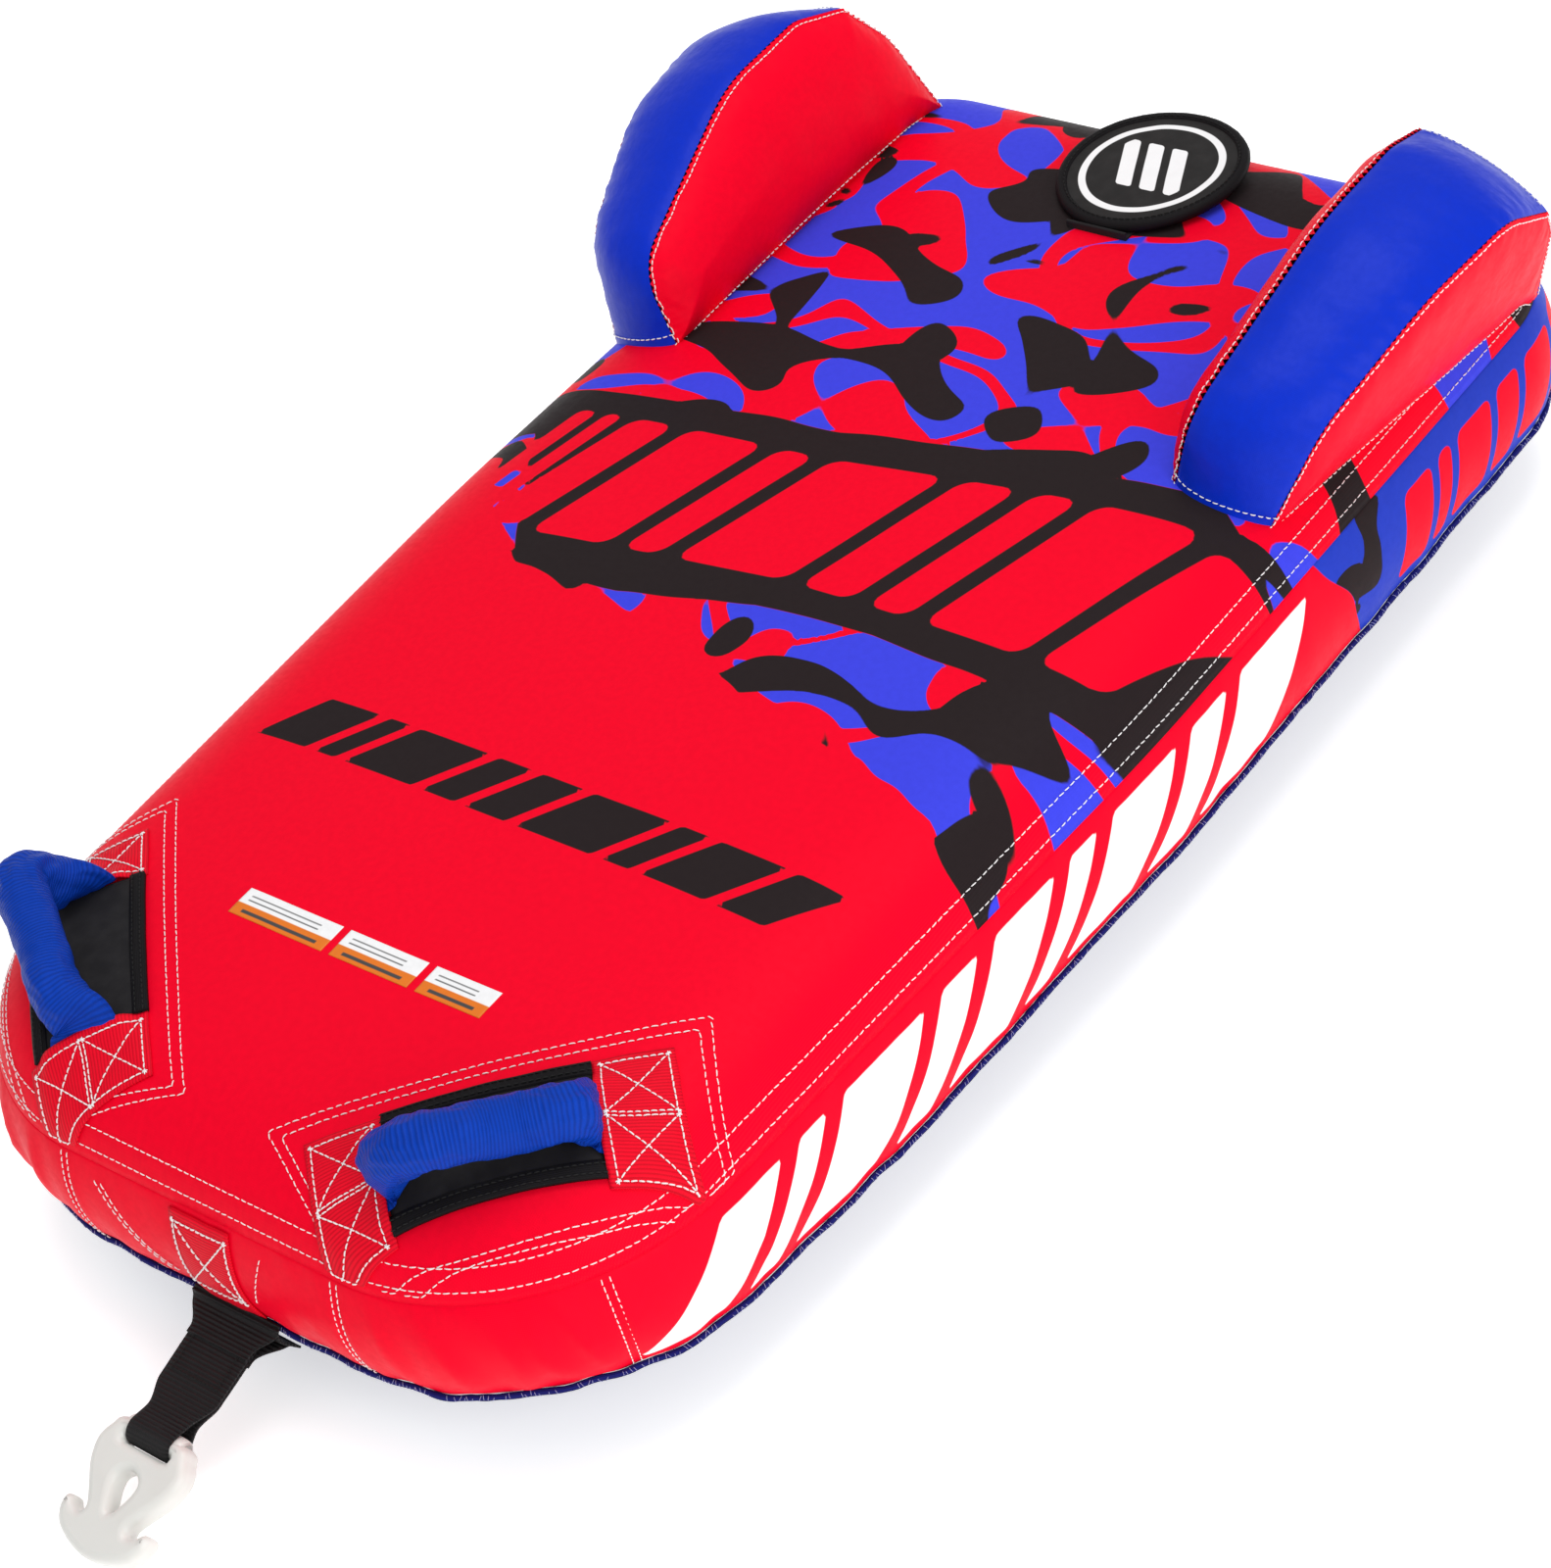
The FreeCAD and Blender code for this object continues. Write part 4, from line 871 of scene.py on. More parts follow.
def bottom_piping():
    """Dark bound edge along the bottom seam, with white overlock thread over it."""
    index = np.arange(len(SEAM))
    seam_z, seam_out = bottom_seam(index)
    centre = np.hstack([SEAM + SEAM_OUT * (seam_out[:, None] + 1.6), (seam_z - 1.6)[:, None]])
    out = wall_out(index)
    angles = np.arange(10) * 2.0 * math.pi / 10.0
    fat = 1.9 + 0.4 * clouds(SEAM_RUN / 6.0, 2.5, 81)
    rings = (centre[:, None, :] + out[:, None, :] * (np.cos(angles)[None, :] * fat[:, None])[..., None]
             + np.array([0.0, 0.0, 1.0]) * (np.sin(angles)[None, :] * fat[:, None] * 1.15)[..., None])
    uv = np.stack(np.broadcast_arrays(SEAM_RUN[:, None], angles[None, :] * 2.5), -1)
    obj = piece("bottom_edge_piping", rings,
                grid_faces(len(SEAM), 10, wrap_rows=True, wrap_columns=True), PIPING, "root", uv,
                away_from=(0.0, 0.0, 62.0))
    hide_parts("bottom_piping")
    random = np.random.RandomState(5)
    rows = []
    spots = resample(np.hstack([centre, out, fat[:, None]]), 2.6, closed=True)
    for spot in spots:
        if random.uniform() < 0.3:
            continue
        middle, away, size = spot[:3], unit(spot[3:6]), spot[6]
        lean = random.uniform(-1.5, 1.5)
        along = np.cross(away, (0.0, 0.0, 1.0))
        first = random.uniform(-0.6, 0.5)
        turn = np.linspace(first, first + random.uniform(0.5, 1.1), 4)[:, None]
        ring = away * np.cos(turn) + np.array([0.0, 0.0, 1.15]) * np.sin(turn)
        path = middle + ring * (size + 0.1) + along * (lean * (turn - first))
        rows.append((path, ring))
    obj = stitches("bottom_edge_thread", rows, "root", FUZZ, pitch=1.5, length=1.5, radius=0.2,
                   seed=6)


def deck_row(plan, lift=0.5, step=2.0, smooth=False):
    """A stitch row over the deck through plan points."""
    path = smooth_path(plan, step) if smooth else resample(plan, step)
    return deck_point(path[:, 0], path[:, 1], lift)


def seam_stitching():
    """Double rows along the top seam, and the upright rows at the wall's joints."""
    index = np.arange(len(SEAM))
    closed = np.append(index, 0)
    rows = []
    for inward in (3.0, 9.6):
        plan = (SEAM - SEAM_OUT * inward)[closed]
        height = deck_height(inward) + 0.6
        slope = unit(np.hstack([SEAM_OUT[closed] * 1.6, np.ones((len(closed), 1))]))
        rows.append((np.hstack([plan, np.full((len(plan), 1), height)]) + slope * 0.2, slope))
    obj = stitches("top_seam_stitching", rows, "root", THREAD, seed=7)
    rows = []
    for at in JOINT_AT.values():
        for shift in (-1.6, 1.6):
            shares = np.linspace(0.04, 0.96, 40)
            steps = np.full(40, at)
            path = wall_point(steps, shares)
            out = wall_out(steps)
            along = np.hstack([SEAM_TANGENT[steps], np.zeros((40, 1))])
            rows.append((path + along * shift * 1.6 + out * 0.9, out))
    obj = stitches("wall_joint_stitching", rows, "root", THREAD, length=3.6, pitch=4.8, seed=8)


# ---- handles ---------------------------------------------------------------------------
PATCH_FRONT = (-46.0, 2.5, -43.0, 38.0)
PATCH_REAR = (127.0, 175.0, -45.0, 38.0)
GUARD = (2.5, 127.0, -43.0, 32.0)
LEAN = {"right": 34.0, "left": 40.0}
SLEEVE_PATH = {
    "right": [(-7.0, -11.5), (1.0, -11.0), (5.0, -7.0), (6.5, 4.0), (9.0, 18.0), (17.0, 31.0),
              (33.0, 38.0), (53.0, 35.0), (70.0, 28.0), (88.0, 22.0), (104.0, 19.0), (116.0, 13.0),
              (122.5, 2.0), (127.0, -9.5), (137.0, -11.5)],
    "left": [(-7.0, -11.5), (1.0, -10.5), (8.0, -4.0), (15.0, 6.0), (29.0, 17.0), (52.0, 22.0),
             (78.0, 31.0), (100.0, 38.0), (113.0, 37.0), (120.0, 26.0), (123.5, 10.0),
             (126.5, -9.0), (136.0, -11.5)]}
SLEEVE_R = 16.8
SLEEVE_FLAT_HALF = 24.0
SWING_LENGTH = 129.0
FOAM_R = 11.0
CORD_R = 5.0
CORD_START = 34.0


def handle_plan(side, t, v):
    """Plan position at t along and v outward of a handle's line."""
    t, v = np.broadcast_arrays(np.asarray(t, float), np.asarray(v, float))
    flat = HANDLE_FRONT + t[..., None] * HANDLE_ALONG + v[..., None] * HANDLE_OUT
    mirror = 1.0 if side == "right" else -1.0
    return flat[..., 0] * mirror, flat[..., 1]


def box_rows(t0, t1, v0, v1):
    """A stitched box with a cross in it, as straight rows."""
    return [[(t0, v0), (t1, v0)], [(t1, v0), (t1, v1)], [(t1, v1), (t0, v1)],
            [(t0, v1), (t0, v0)], [(t0, v0), (t1, v1)], [(t0, v1), (t1, v0)]]


def row_distance(x, y, rows):
    """Distance to the nearest of some straight stitch rows."""
    return np.min([segment_gap(x, y, *row) for row in rows], axis=0)


def deck_plate(name, side, span, lift, thickness, material, step=2.3, edge=0.6, warp=0.5):
    """A flat piece sewn on the deck beside a handle; lift is a function of t and v."""
    t0, t1, v0, v1 = span
    t = np.linspace(t0, t1, int((t1 - t0) / step) + 2)
    v = np.linspace(v0, v1, int((v1 - v0) / step) + 2)
    tt, vv = np.meshgrid(t, v, indexing="ij")
    st = tt + warp * clouds(vv / 19.0, 3.0, 91)
    sv = vv + warp * clouds(tt / 23.0, 8.0, 92)
    x, y = handle_plan(side, st, sv)
    top, normal = deck_point(x, y, lift(tt, vv))
    return plate(name, top, thickness, normal, material, "root", np.stack([tt, vv], -1), edge=edge)


def patch_height(rows, tab_t, t, v):
    """Height of a webbing patch: pulled down at its stitches, raised over the handle's end."""
    quilt = 0.7 * np.exp(-(row_distance(t, v, rows) / 2.6) ** 2)
    tab = 5.4 * np.exp(-((t - tab_t) / 13.0) ** 2) * ease(36.0, 23.0, np.abs(v + 2.0))
    return 2.3 - quilt + tab + 0.35 * clouds(t / 17.0, v / 17.0, 93)


def handle_mounts(side):
    front = box_rows(-42.0, -3.5, -38.5, -2.0) + box_rows(-42.0, -3.5, 0.5, 34.5)
    rear = box_rows(132.0, 171.0, -41.0, -4.0) + box_rows(132.0, 171.0, -1.5, 34.5)
    for place, span, rows, tab_t in (("front", PATCH_FRONT, front, 4.0),
                                     ("rear", PATCH_REAR, rear, 126.0)):
        obj = deck_plate("handle_mount_%s_%s" % (place, side), side, span,
                         lambda t, v: patch_height(rows, tab_t, t, v), 2.0, RED_WEB)
        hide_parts("handle_patch_%s_%s" % (place, side))
        paths = []
        for row in rows:
            spots = resample(row, 1.6)
            x, y = handle_plan(side, spots[:, 0], spots[:, 1])
            paths.append(deck_point(x, y, patch_height(rows, tab_t, spots[:, 0], spots[:, 1]) + 0.4))
        obj = stitches("handle_mount_thread_%s_%s" % (place, side), paths, "root", THREAD,
                       pitch=4.4, length=3.9, radius=0.5, seed=11)

    def guard_lift(t, v):
        middle = np.sin(np.pi * (t - GUARD[0]) / (GUARD[1] - GUARD[0]))
        return 3.2 + 1.3 * clouds(t / 31.0, v / 24.0, 94) * middle + 0.8 * middle

    obj = deck_plate("knuckle_pad_" + side, side, GUARD, guard_lift, 3.0, RUBBER, step=3.0,
                     edge=0.8, warp=0.0)
    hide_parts("knuckle_guard_" + side)
    t0, t1, v0, v1 = GUARD
    paths = []
    for number, (low, high) in enumerate(((v0 - 0.8, v0 + 9.0), (v1 - 9.0, v1 + 0.8))):
        obj = deck_plate("knuckle_pad_edge_%d_%s" % (number + 1, side), side, (t0, t1, low, high),
                         lambda t, v: guard_lift(t, v) + 1.3 + 0.5 * np.sin(
                             np.pi * (v - low) / (high - low)), 3.6, TAPE, step=1.6, warp=0.0)
        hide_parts("knuckle_guard_binding_" + side)
        for v in (low + 2.4, high - 2.4):
            spots = resample([(t0 + 1.0, v), (t1 - 1.0, v)], 2.0)
            x, y = handle_plan(side, spots[:, 0], spots[:, 1])
            paths.append(deck_point(x, y, guard_lift(spots[:, 0], spots[:, 1]) + 2.0))
    obj = stitches("knuckle_pad_thread_" + side, paths, "root", BLACK_THREAD, pitch=4.2,
                   length=3.3, radius=0.45, seed=12)


def swing_frame(side):
    """Start of the swing line, unit vector along it and unit vector up the leaning arch."""
    ends = []
    for t in (0.0, SWING_LENGTH):
        x, y = handle_plan("right", t, 0.0)
        inside, _ = seam_distance(x, y)
        height = np.interp(inside, *zip(*DECK_PROFILE))
        ends.append(np.array([float(x), float(y), float(height[0]) + HANDLE_LINE_UP]))
    along = unit(ends[1] - ends[0])
    level_out = unit(np.array([along[1], -along[0], 0.0]))
    square_up = np.cross(level_out, along)
    lean = math.radians(LEAN[side])
    return ends[0], along, square_up * math.cos(lean) + level_out * math.sin(lean)


def to_side(points, side):
    return points * np.array([1.0 if side == "right" else -1.0, 1.0, 1.0])


def handle_grip(side):
    """Webbing sleeve over foam over a cord; its flat ends go under the sewn patches."""
    first, along, up = swing_frame(side)
    flat = smooth_path(SLEEVE_PATH[side], 1.5)
    path = first + flat[:, :1] * along + flat[:, 1:] * up
    run = run_along(path)
    end_gap = np.minimum(run, run[-1] - run)
    bend = unit(np.gradient(flat, axis=0))
    bend = np.gradient(np.unwrap(np.arctan2(bend[:, 1], bend[:, 0])), run)
    across = np.broadcast_to(np.cross(along, up), path.shape)
    x, y = handle_plan("right", flat[:, 0], -2.0)
    sewn, deck_normal = deck_point(x, y, np.maximum(flat[:, 1] + 13.6, 2.1))
    share = ease(4.0, 30.0, end_gap)[:, None]
    path = sewn * (1.0 - share) + path * share
    across = unit(np.cross(along, deck_normal) * (1.0 - share) + across * share)
    columns = 84
    angles = np.arange(columns) * 2.0 * math.pi / columns

    def sleeve_section(i):
        open_up = float(ease(5.0, 36.0, end_gap[i]))
        narrowed = float(ease(4.0, 40.0, end_gap[i]))
        wide = SLEEVE_FLAT_HALF + (SLEEVE_R - SLEEVE_FLAT_HALF) * narrowed
        tall = 1.6 + (SLEEVE_R - 2.4) * open_up
        s = run[i] + (0.0 if side == "right" else 500.0)
        bumps = 1.9 * clouds(angles * 0.9 + s / 70.0, s / 27.0, 95)
        pinch = min(1.0, abs(bend[i]) * 45.0)
        bumps = bumps + 2.6 * pinch * clouds(angles * 2.1, s / 10.0, 96)
        bumps = bumps + 0.5 * clouds(angles * 3.0 + s / 9.0, s / 13.0, 94)
        gather = float(np.exp(-((end_gap[i] - 14.0) / 12.0) ** 2))
        phase = angles * 5.0 + 2.4 * clouds(angles, s / 26.0, 97)
        pleats = 2.6 * gather * (np.abs(np.sin(phase)) - 0.62)
        grow = bumps * open_up + pleats * (0.25 + 0.75 * open_up)
        return np.stack([np.cos(angles) * (wide + grow), np.sin(angles) * (tall + grow)], 1)

    rings = sweep(path, across, sleeve_section)
    middle = len(rings) // 2
    body = "handle_" + side
    for number, (low, high) in enumerate(((0, middle), (middle, len(rings) - 1))):
        part = rings[low:high + 1]
        count = len(part)
        faces = grid_faces(count, columns, wrap_columns=True).tolist()
        tip = 0 if number == 0 else count - 1
        points = np.vstack([part.reshape(-1, 3), part[tip].mean(0)])
        for c in range(columns):
            pair = [tip * columns + c, tip * columns + (c + 1) % columns]
            faces.append((pair if number == 0 else pair[::-1]) + [count * columns])
        uv = np.stack(np.broadcast_arrays(angles[None, :] * SLEEVE_R, run[low:high + 1, None]), -1)
        uv = np.vstack([uv.reshape(-1, 2), [[0.0, run[low + tip]]]])
        obj = piece("handle_grip_%s_%s" % (("front", "rear")[number], side), to_side(points, side),
                    faces if side == "right" else [f[::-1] for f in faces], BLUE_WEB, None, uv)
        start = to_side(path[2 if number == 0 else -3], side) * MM
        towards = to_side(path[26 if number == 0 else -27], side) * MM
        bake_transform(obj)
        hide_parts("handle_sleeve_" + side)
    keep = end_gap > CORD_START
    for name, radius, material, node, slot_name in (
            ("handle_padding_", FOAM_R, FOAM, "handle_foam_", "grip_foam"),
            ("handle_cord_", CORD_R, BLUE_WEB, "handle_core_", "handle_cord")):
        ring = np.arange(16) * math.pi / 8.0
        circle = np.stack([np.cos(ring), np.sin(ring)], 1) * radius
        inner = sweep(path[keep], across[keep], lambda i: circle)
        points, faces = closed_tube(inner)
        uv = np.vstack([np.stack(np.broadcast_arrays(ring[None, :] * radius, run[keep][:, None]),
                                 -1).reshape(-1, 2), [[0.0, 0.0], [0.0, 0.0]]])
        obj = piece(name + side, to_side(points, side),
                    faces if side == "right" else [f[::-1] for f in faces], material, body, uv)
        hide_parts(node + side)


def deck_stitching():
    """Reinforcement rows round the handles, and the corner arcs, on both sides."""
    rows = []
    lines = [[(114, -563), (35, -524), (225, -337), (294, -418)],
             [(125, -562), (46, -523), (225, -348), (290, -420)]]
    arcs = [[(150, -565), (172, -549), (196, -531), (221, -507), (244, -480), (260, -458), (273, -436)],
            [(165, -562), (186, -544), (218, -515), (246, -485), (262, -462), (271, -447)]]
    for mirror in (1.0, -1.0):
        scale = np.array([mirror, 1.0])
        for line in lines:
            rows.append(deck_row(np.array(line, float) * scale))
        for arc in arcs:
            rows.append(deck_row(np.array(arc, float) * scale, smooth=True))
    obj = stitches("deck_stitching", rows, "root", THREAD, seed=13)


# ---- tow gear --------------------------------------------------------------------------
STRAP_TOP = np.array([-585.0, 58.0])
HOOK_PIVOT = np.array([-657.0, 38.0])
HOOK_TILT = math.radians(22.0)
HOOK_T = 17.0


def nose_mount():
    """Sewn webbing patch on the nose wall that spreads the tow load."""
    index = np.arange(-7, 8)
    share = np.linspace(0.085, 0.962, 30)
    base = wall_point(index[None, :], share[:, None])
    out = wall_out(index)
    normal = np.broadcast_to(out[None], base.shape) + np.array([0.0, 0.0, 0.3]) * (
        2.0 * share[:, None, None] - 1.0)
    normal = unit(normal)
    x = base[..., 0]
    z = BOTTOM_SEAM_Z + (TOP_SEAM_Z - BOTTOM_SEAM_Z) * share
    rows = box_rows(-22.0, 22.0, 88.0, 138.0)
    grid_z = np.broadcast_to(z[:, None], x.shape)
    pull = 0.6 * np.exp(-(row_distance(x, grid_z, rows) / 2.6) ** 2)
    top = base + normal * (2.4 - pull)[..., None]
    obj = plate("nose_mount", top, 1.9, normal, RED_WEB, "root", np.stack([x, grid_z], -1))
    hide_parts("nose_patch")
    paths = []
    for row in rows:
        spots = resample(row, 1.6)
        height = np.interp(spots[:, 1], z, np.arange(len(z)))
        low = np.clip(height.astype(int), 0, len(z) - 2)
        part = (height - low)[:, None]
        column = np.clip(spots[:, 0] / SEAM_STEP + 7.0, 0.0, 13.99)
        left = column.astype(int)
        side = (column - left)[:, None]

        def blend(grid):
            return ((grid[low, left] * (1 - side) + grid[low, left + 1] * side) * (1 - part)
                    + (grid[low + 1, left] * (1 - side) + grid[low + 1, left + 1] * side) * part)

        paths.append((blend(top) + blend(normal) * 0.4, blend(normal)))
    obj = stitches("nose_mount_thread", paths, "root", THREAD, pitch=4.4, length=3.9, radius=0.58,
                   seed=14)
    paths = []
    for line in ([(-86.0, 0.84), (-44.0, 0.22)], [(-92.0, 0.84), (-50.0, 0.22)],
                 [(36.0, 0.42), (50.0, 0.86)]):
        spots = resample(np.array(line) * np.array([1.0, 85.0]), 2.0)
        share = spots[:, 1] / 85.0
        steps = np.round(spots[:, 0] / SEAM_STEP).astype(int)
        points = wall_point(steps, share)
        points[:, 0] = spots[:, 0]
        out = wall_out(steps)
        paths.append((points + out * 0.6, out))
    obj = stitches("nose_wall_stitching", paths, "root", THREAD, seed=15)


def webbing_strip(name, flat, half_widths, thickness, material, body, waves=0.0, columns=19,
                  edge=0.5):
    """Webbing across the object following a path of y, z; its outer face is the path."""
    tangent = unit(np.gradient(flat, axis=0))
    normal = np.stack([0 * tangent[:, 0], tangent[:, 1], -tangent[:, 0]], 1)
    run = run_along(flat)
    share = np.linspace(-1.0, 1.0, columns)
    x = share[None, :] * half_widths[:, None]
    lift = waves * clouds(run[:, None] / 23.0, x / 27.0, 98)
    grid = np.stack([x, np.broadcast_to(flat[:, :1], x.shape), np.broadcast_to(flat[:, 1:], x.shape)],
                    -1)
    normals = np.broadcast_to(normal[:, None, :], grid.shape)
    grid = grid + normals * lift[..., None]
    uv = np.stack([x, np.broadcast_to(run[:, None], x.shape)], -1)
    return plate(name, grid, thickness, normals, material, body, uv, edge=edge)


def tow_gear():
    nose_mount()
    flat = smooth_path([(-575.6, 69.0), (-576.8, 64.0), (-576.6, 58.0), (-571.6, 50.0),
                        (-566.4, 42.4)], 1.2)
    obj = webbing_strip("tow_wrap_webbing", flat, np.full(len(flat), 36.8), 1.9, BLACK_WEB, "root",
                        waves=0.5)
    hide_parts("tow_wrap")

    down = unit(HOOK_PIVOT - STRAP_TOP)
    up = np.array([down[1], -down[0]])
    length = float(np.linalg.norm(HOOK_PIVOT - STRAP_TOP))
    half_gap, ring = 2.5, 10.5
    leg = [STRAP_TOP + down * s + up * half_gap for s in (-1.5, 14.0, 30.0, 44.0)]
    leg.append(STRAP_TOP + down * (length - 17.0) + up * 4.6)
    turn = [HOOK_PIVOT + ring * (math.cos(a) * down + math.sin(a) * up)
            for a in np.radians(np.arange(110.0, -111.0, -20.0))]
    back = [STRAP_TOP + down * s - up * half_gap for s in (44.0, 30.0, 14.0, -1.5)]
    back = [STRAP_TOP + down * (length - 17.0) - up * 4.6] + back
    flat = smooth_path(leg + turn + back, 1.5)
    ahead = (flat - STRAP_TOP) @ down
    half = 25.2 - 7.4 * ease(length - 34.0, length - 13.0, ahead)
    obj = webbing_strip("tow_strap_webbing", flat, half, 2.2, BLACK_WEB, "tow_strap", waves=0.35)
    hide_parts("tow_strap")
    for name, spots in (("upper", [(-572.6, 70.5), (-577.4, 65.0), (-582.5, 62.8), (-589.0, 60.6),
                                   (-597.0, 58.6)]),
                        ("lower", [(-568.5, 48.0), (-574.0, 51.5), (-581.0, 53.6), (-589.0, 52.9),
                                   (-597.0, 50.9)])):
        flat = smooth_path(spots, 1.2)
        ahead = -flat[:, 0]
        half = 36.6 - 10.9 * ease(575.0, 593.0, ahead)
        if name == "lower":
            flat = flat[::-1]
            half = half[::-1]
        obj = webbing_strip("tow_wrap_%s_tail" % name, flat, half, 1.6, BLACK_WEB, None, waves=0.4)
        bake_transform(obj)
    rows = []
    for row in box_rows(-19.0, 19.0, 6.0, 34.0)[:4]:
        spots = resample(row, 1.6)
        place = STRAP_TOP + spots[:, 1:] * down + up * (half_gap + 0.6)
        rows.append((np.hstack([spots[:, :1], place]),
                     np.broadcast_to(np.array([0.0, up[0], up[1]]), (len(spots), 3))))
    obj = stitches("tow_strap_thread", rows, "tow_strap", BLACK_THREAD, pitch=3.6, length=2.8,
                   radius=0.4, seed=16)
    tow_hook()


def tow_hook():
    """Moulded quick hook: slotted eye over the strap loop, rope eye and two horns."""
    half = [(23.0, -3.5), (33.0, 5.0), (37.0, 16.0), (33.5, 30.0), (24.5, 44.0), (19.0, 53.5),
            (21.5, 58.0), (27.5, 55.5), (31.0, 52.0), (36.0, 53.0), (36.5, 61.0), (31.0, 70.0),
            (20.0, 76.0), (8.0, 79.5)]
    outline = [(0.0, 80.3)] + [(-x, s) for x, s in half[::-1]] + half
    teardrop = [(0.0, 51.0), (-3.4, 46.0), (-7.8, 35.0), (-7.2, 28.0), (0.0, 24.0), (7.2, 28.0),
                (7.8, 35.0), (3.4, 46.0)]
    slot_hole = [(-19.5, 7.0), (-19.0, 9.6), (-16.0, 10.8), (16.0, 10.8), (19.0, 9.6),
                 (19.5, 7.0), (19.0, 6.2), (-19.0, 6.2)]
    bevel = 5.6
    curve = bpy.data.curves.new("tow_hook_body", "CURVE")
    curve.dimensions = "2D"
    curve.fill_mode = "BOTH"
    curve.extrude = (HOOK_T / 2.0 - bevel) * MM
    curve.bevel_depth = bevel * MM
    curve.offset = -bevel * MM
    curve.bevel_resolution = 5
    for loop, step in ((outline, 1.6), (teardrop, 1.2), (slot_hole, 1.2)):
        points = np.array(loop, float)
        if loop is outline or loop is teardrop:
            ring = np.vstack([points[-3:], points, points[:3]])
            fine = smooth_path(ring, 0.8)
            cut = [int(np.argmin(np.linalg.norm(fine[:len(fine) // 2] - points[0], axis=1))),
                   len(fine) // 2 + int(np.argmin(np.linalg.norm(fine[len(fine) // 2:]
                                                                 - points[0], axis=1)))]
            points = resample(fine[cut[0]:cut[1]], step)[:-1]
        spline = curve.splines.new("POLY")
        spline.points.add(len(points) - 1)
        for spot, (x, s) in zip(spline.points, points):
            spot.co = (x * MM, s * MM, 0.0, 1.0)
        spline.use_cyclic_u = True
    holder = bpy.data.objects.new("tow_hook_outline", curve)
    scene.collection.objects.link(holder)
    bpy.context.view_layer.update()
    mesh = bpy.data.meshes.new_from_object(holder.evaluated_get(bpy.context.evaluated_depsgraph_get()))
    bpy.data.objects.remove(holder)
    forward = Vector((0.0, -math.cos(HOOK_TILT), -math.sin(HOOK_TILT)))
    normal = Vector((0.0, -math.sin(HOOK_TILT), math.cos(HOOK_TILT)))
    place = Matrix(((1.0, forward.x, normal.x, 0.0),
                    (0.0, forward.y, normal.y, HOOK_PIVOT[0] * MM),
                    (0.0, forward.z, normal.z, HOOK_PIVOT[1] * MM), (0.0, 0.0, 0.0, 1.0)))
    mesh.transform(place)
    if place.to_3x3().determinant() < 0.0:
        mesh.flip_normals()
    mesh.shade_smooth()
    mesh.materials.clear()
    mesh.materials.append(NYLON)
    obj = bpy.data.objects.new("tow_hook_body", mesh)
    scene.collection.objects.link(obj)
    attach(obj, "tow_hook")
    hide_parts("tow_hook")
    ring = np.arange(24) * math.pi / 12.0
    rings = []
    for x, radius in ((-24.0, 5.0), (-22.5, 7.0), (-19.0, 7.6), (0.0, 7.6), (19.0, 7.6), (22.5, 7.0),
                      (24.0, 5.0)):
        rings.append(np.stack([np.full(24, x), HOOK_PIVOT[0] + radius * np.cos(ring),
                               HOOK_PIVOT[1] + radius * np.sin(ring)], 1))
    points, faces = closed_tube(np.array(rings))
    obj = piece("tow_hook_bar", points, faces, NYLON, "tow_hook",
                away_from=(0.0, HOOK_PIVOT[0], HOOK_PIVOT[1]))


# ---- wings -----------------------------------------------------------------------------
INNER_LEAN = 0.33
OUTER_LEAN = 0.42
OUTER_TURN = 0.086


def wing_inner_x(y, z):
    """Where the wing's inner face stands; it leans outwards as it rises."""
    return 212.0 + INNER_LEAN * (z - 200.0)


def wing_outer_x(y, z):
    """Where the wing's outer face stands; it leans outwards and opens towards the tail."""
    return 275.6 + OUTER_TURN * (y - 171.9) + OUTER_LEAN * (z - 176.6)


def wing_edge(corners, place):
    """The edge of a wing face from its front foot to its apex, and on to its rear foot."""
    flat = rounded_path(corners, 1.5)
    points = np.stack([place(flat[:, 0], flat[:, 1]), flat[:, 0], flat[:, 1]], 1)
    above = points[:, 2] > deck_point(points[:, 0], points[:, 1])[0][:, 2] - 2.0
    keep = np.nonzero(above)[0]
    points = points[keep[0]:keep[-1] + 1]
    apex = int(np.argmin(np.hypot(points[:, 1] - corners[4][0], points[:, 2] - corners[4][1])))
    front, rear = points[:apex + 1], points[apex:]

    def spread(part, count):
        run = run_along(part)
        return at_distances(part, run, np.linspace(0.0, run[-1], count))

    return spread(front, 130), spread(rear, 44)


def wing_foot(place, y):
    """Where a wing face meets the deck, found by stepping towards it from a level near it."""
    z = np.full(len(y), 195.0)
    for _ in range(12):
        z = deck_point(place(y, z), y)[0][:, 2]
    return np.stack([place(y, z), y, z - 2.0], 1)


def path_gap(grid, line):
    """Distance from each point of a grid to the nearest point of a line, in batches."""
    flat = grid.reshape(-1, 3)
    gap = np.empty(len(flat))
    for i in range(0, len(flat), BATCH):
        apart = np.linalg.norm(flat[i:i + BATCH, None, :] - line[None], axis=2)
        gap[i:i + BATCH] = apart.min(axis=1)
    return gap.reshape(grid.shape[:2])


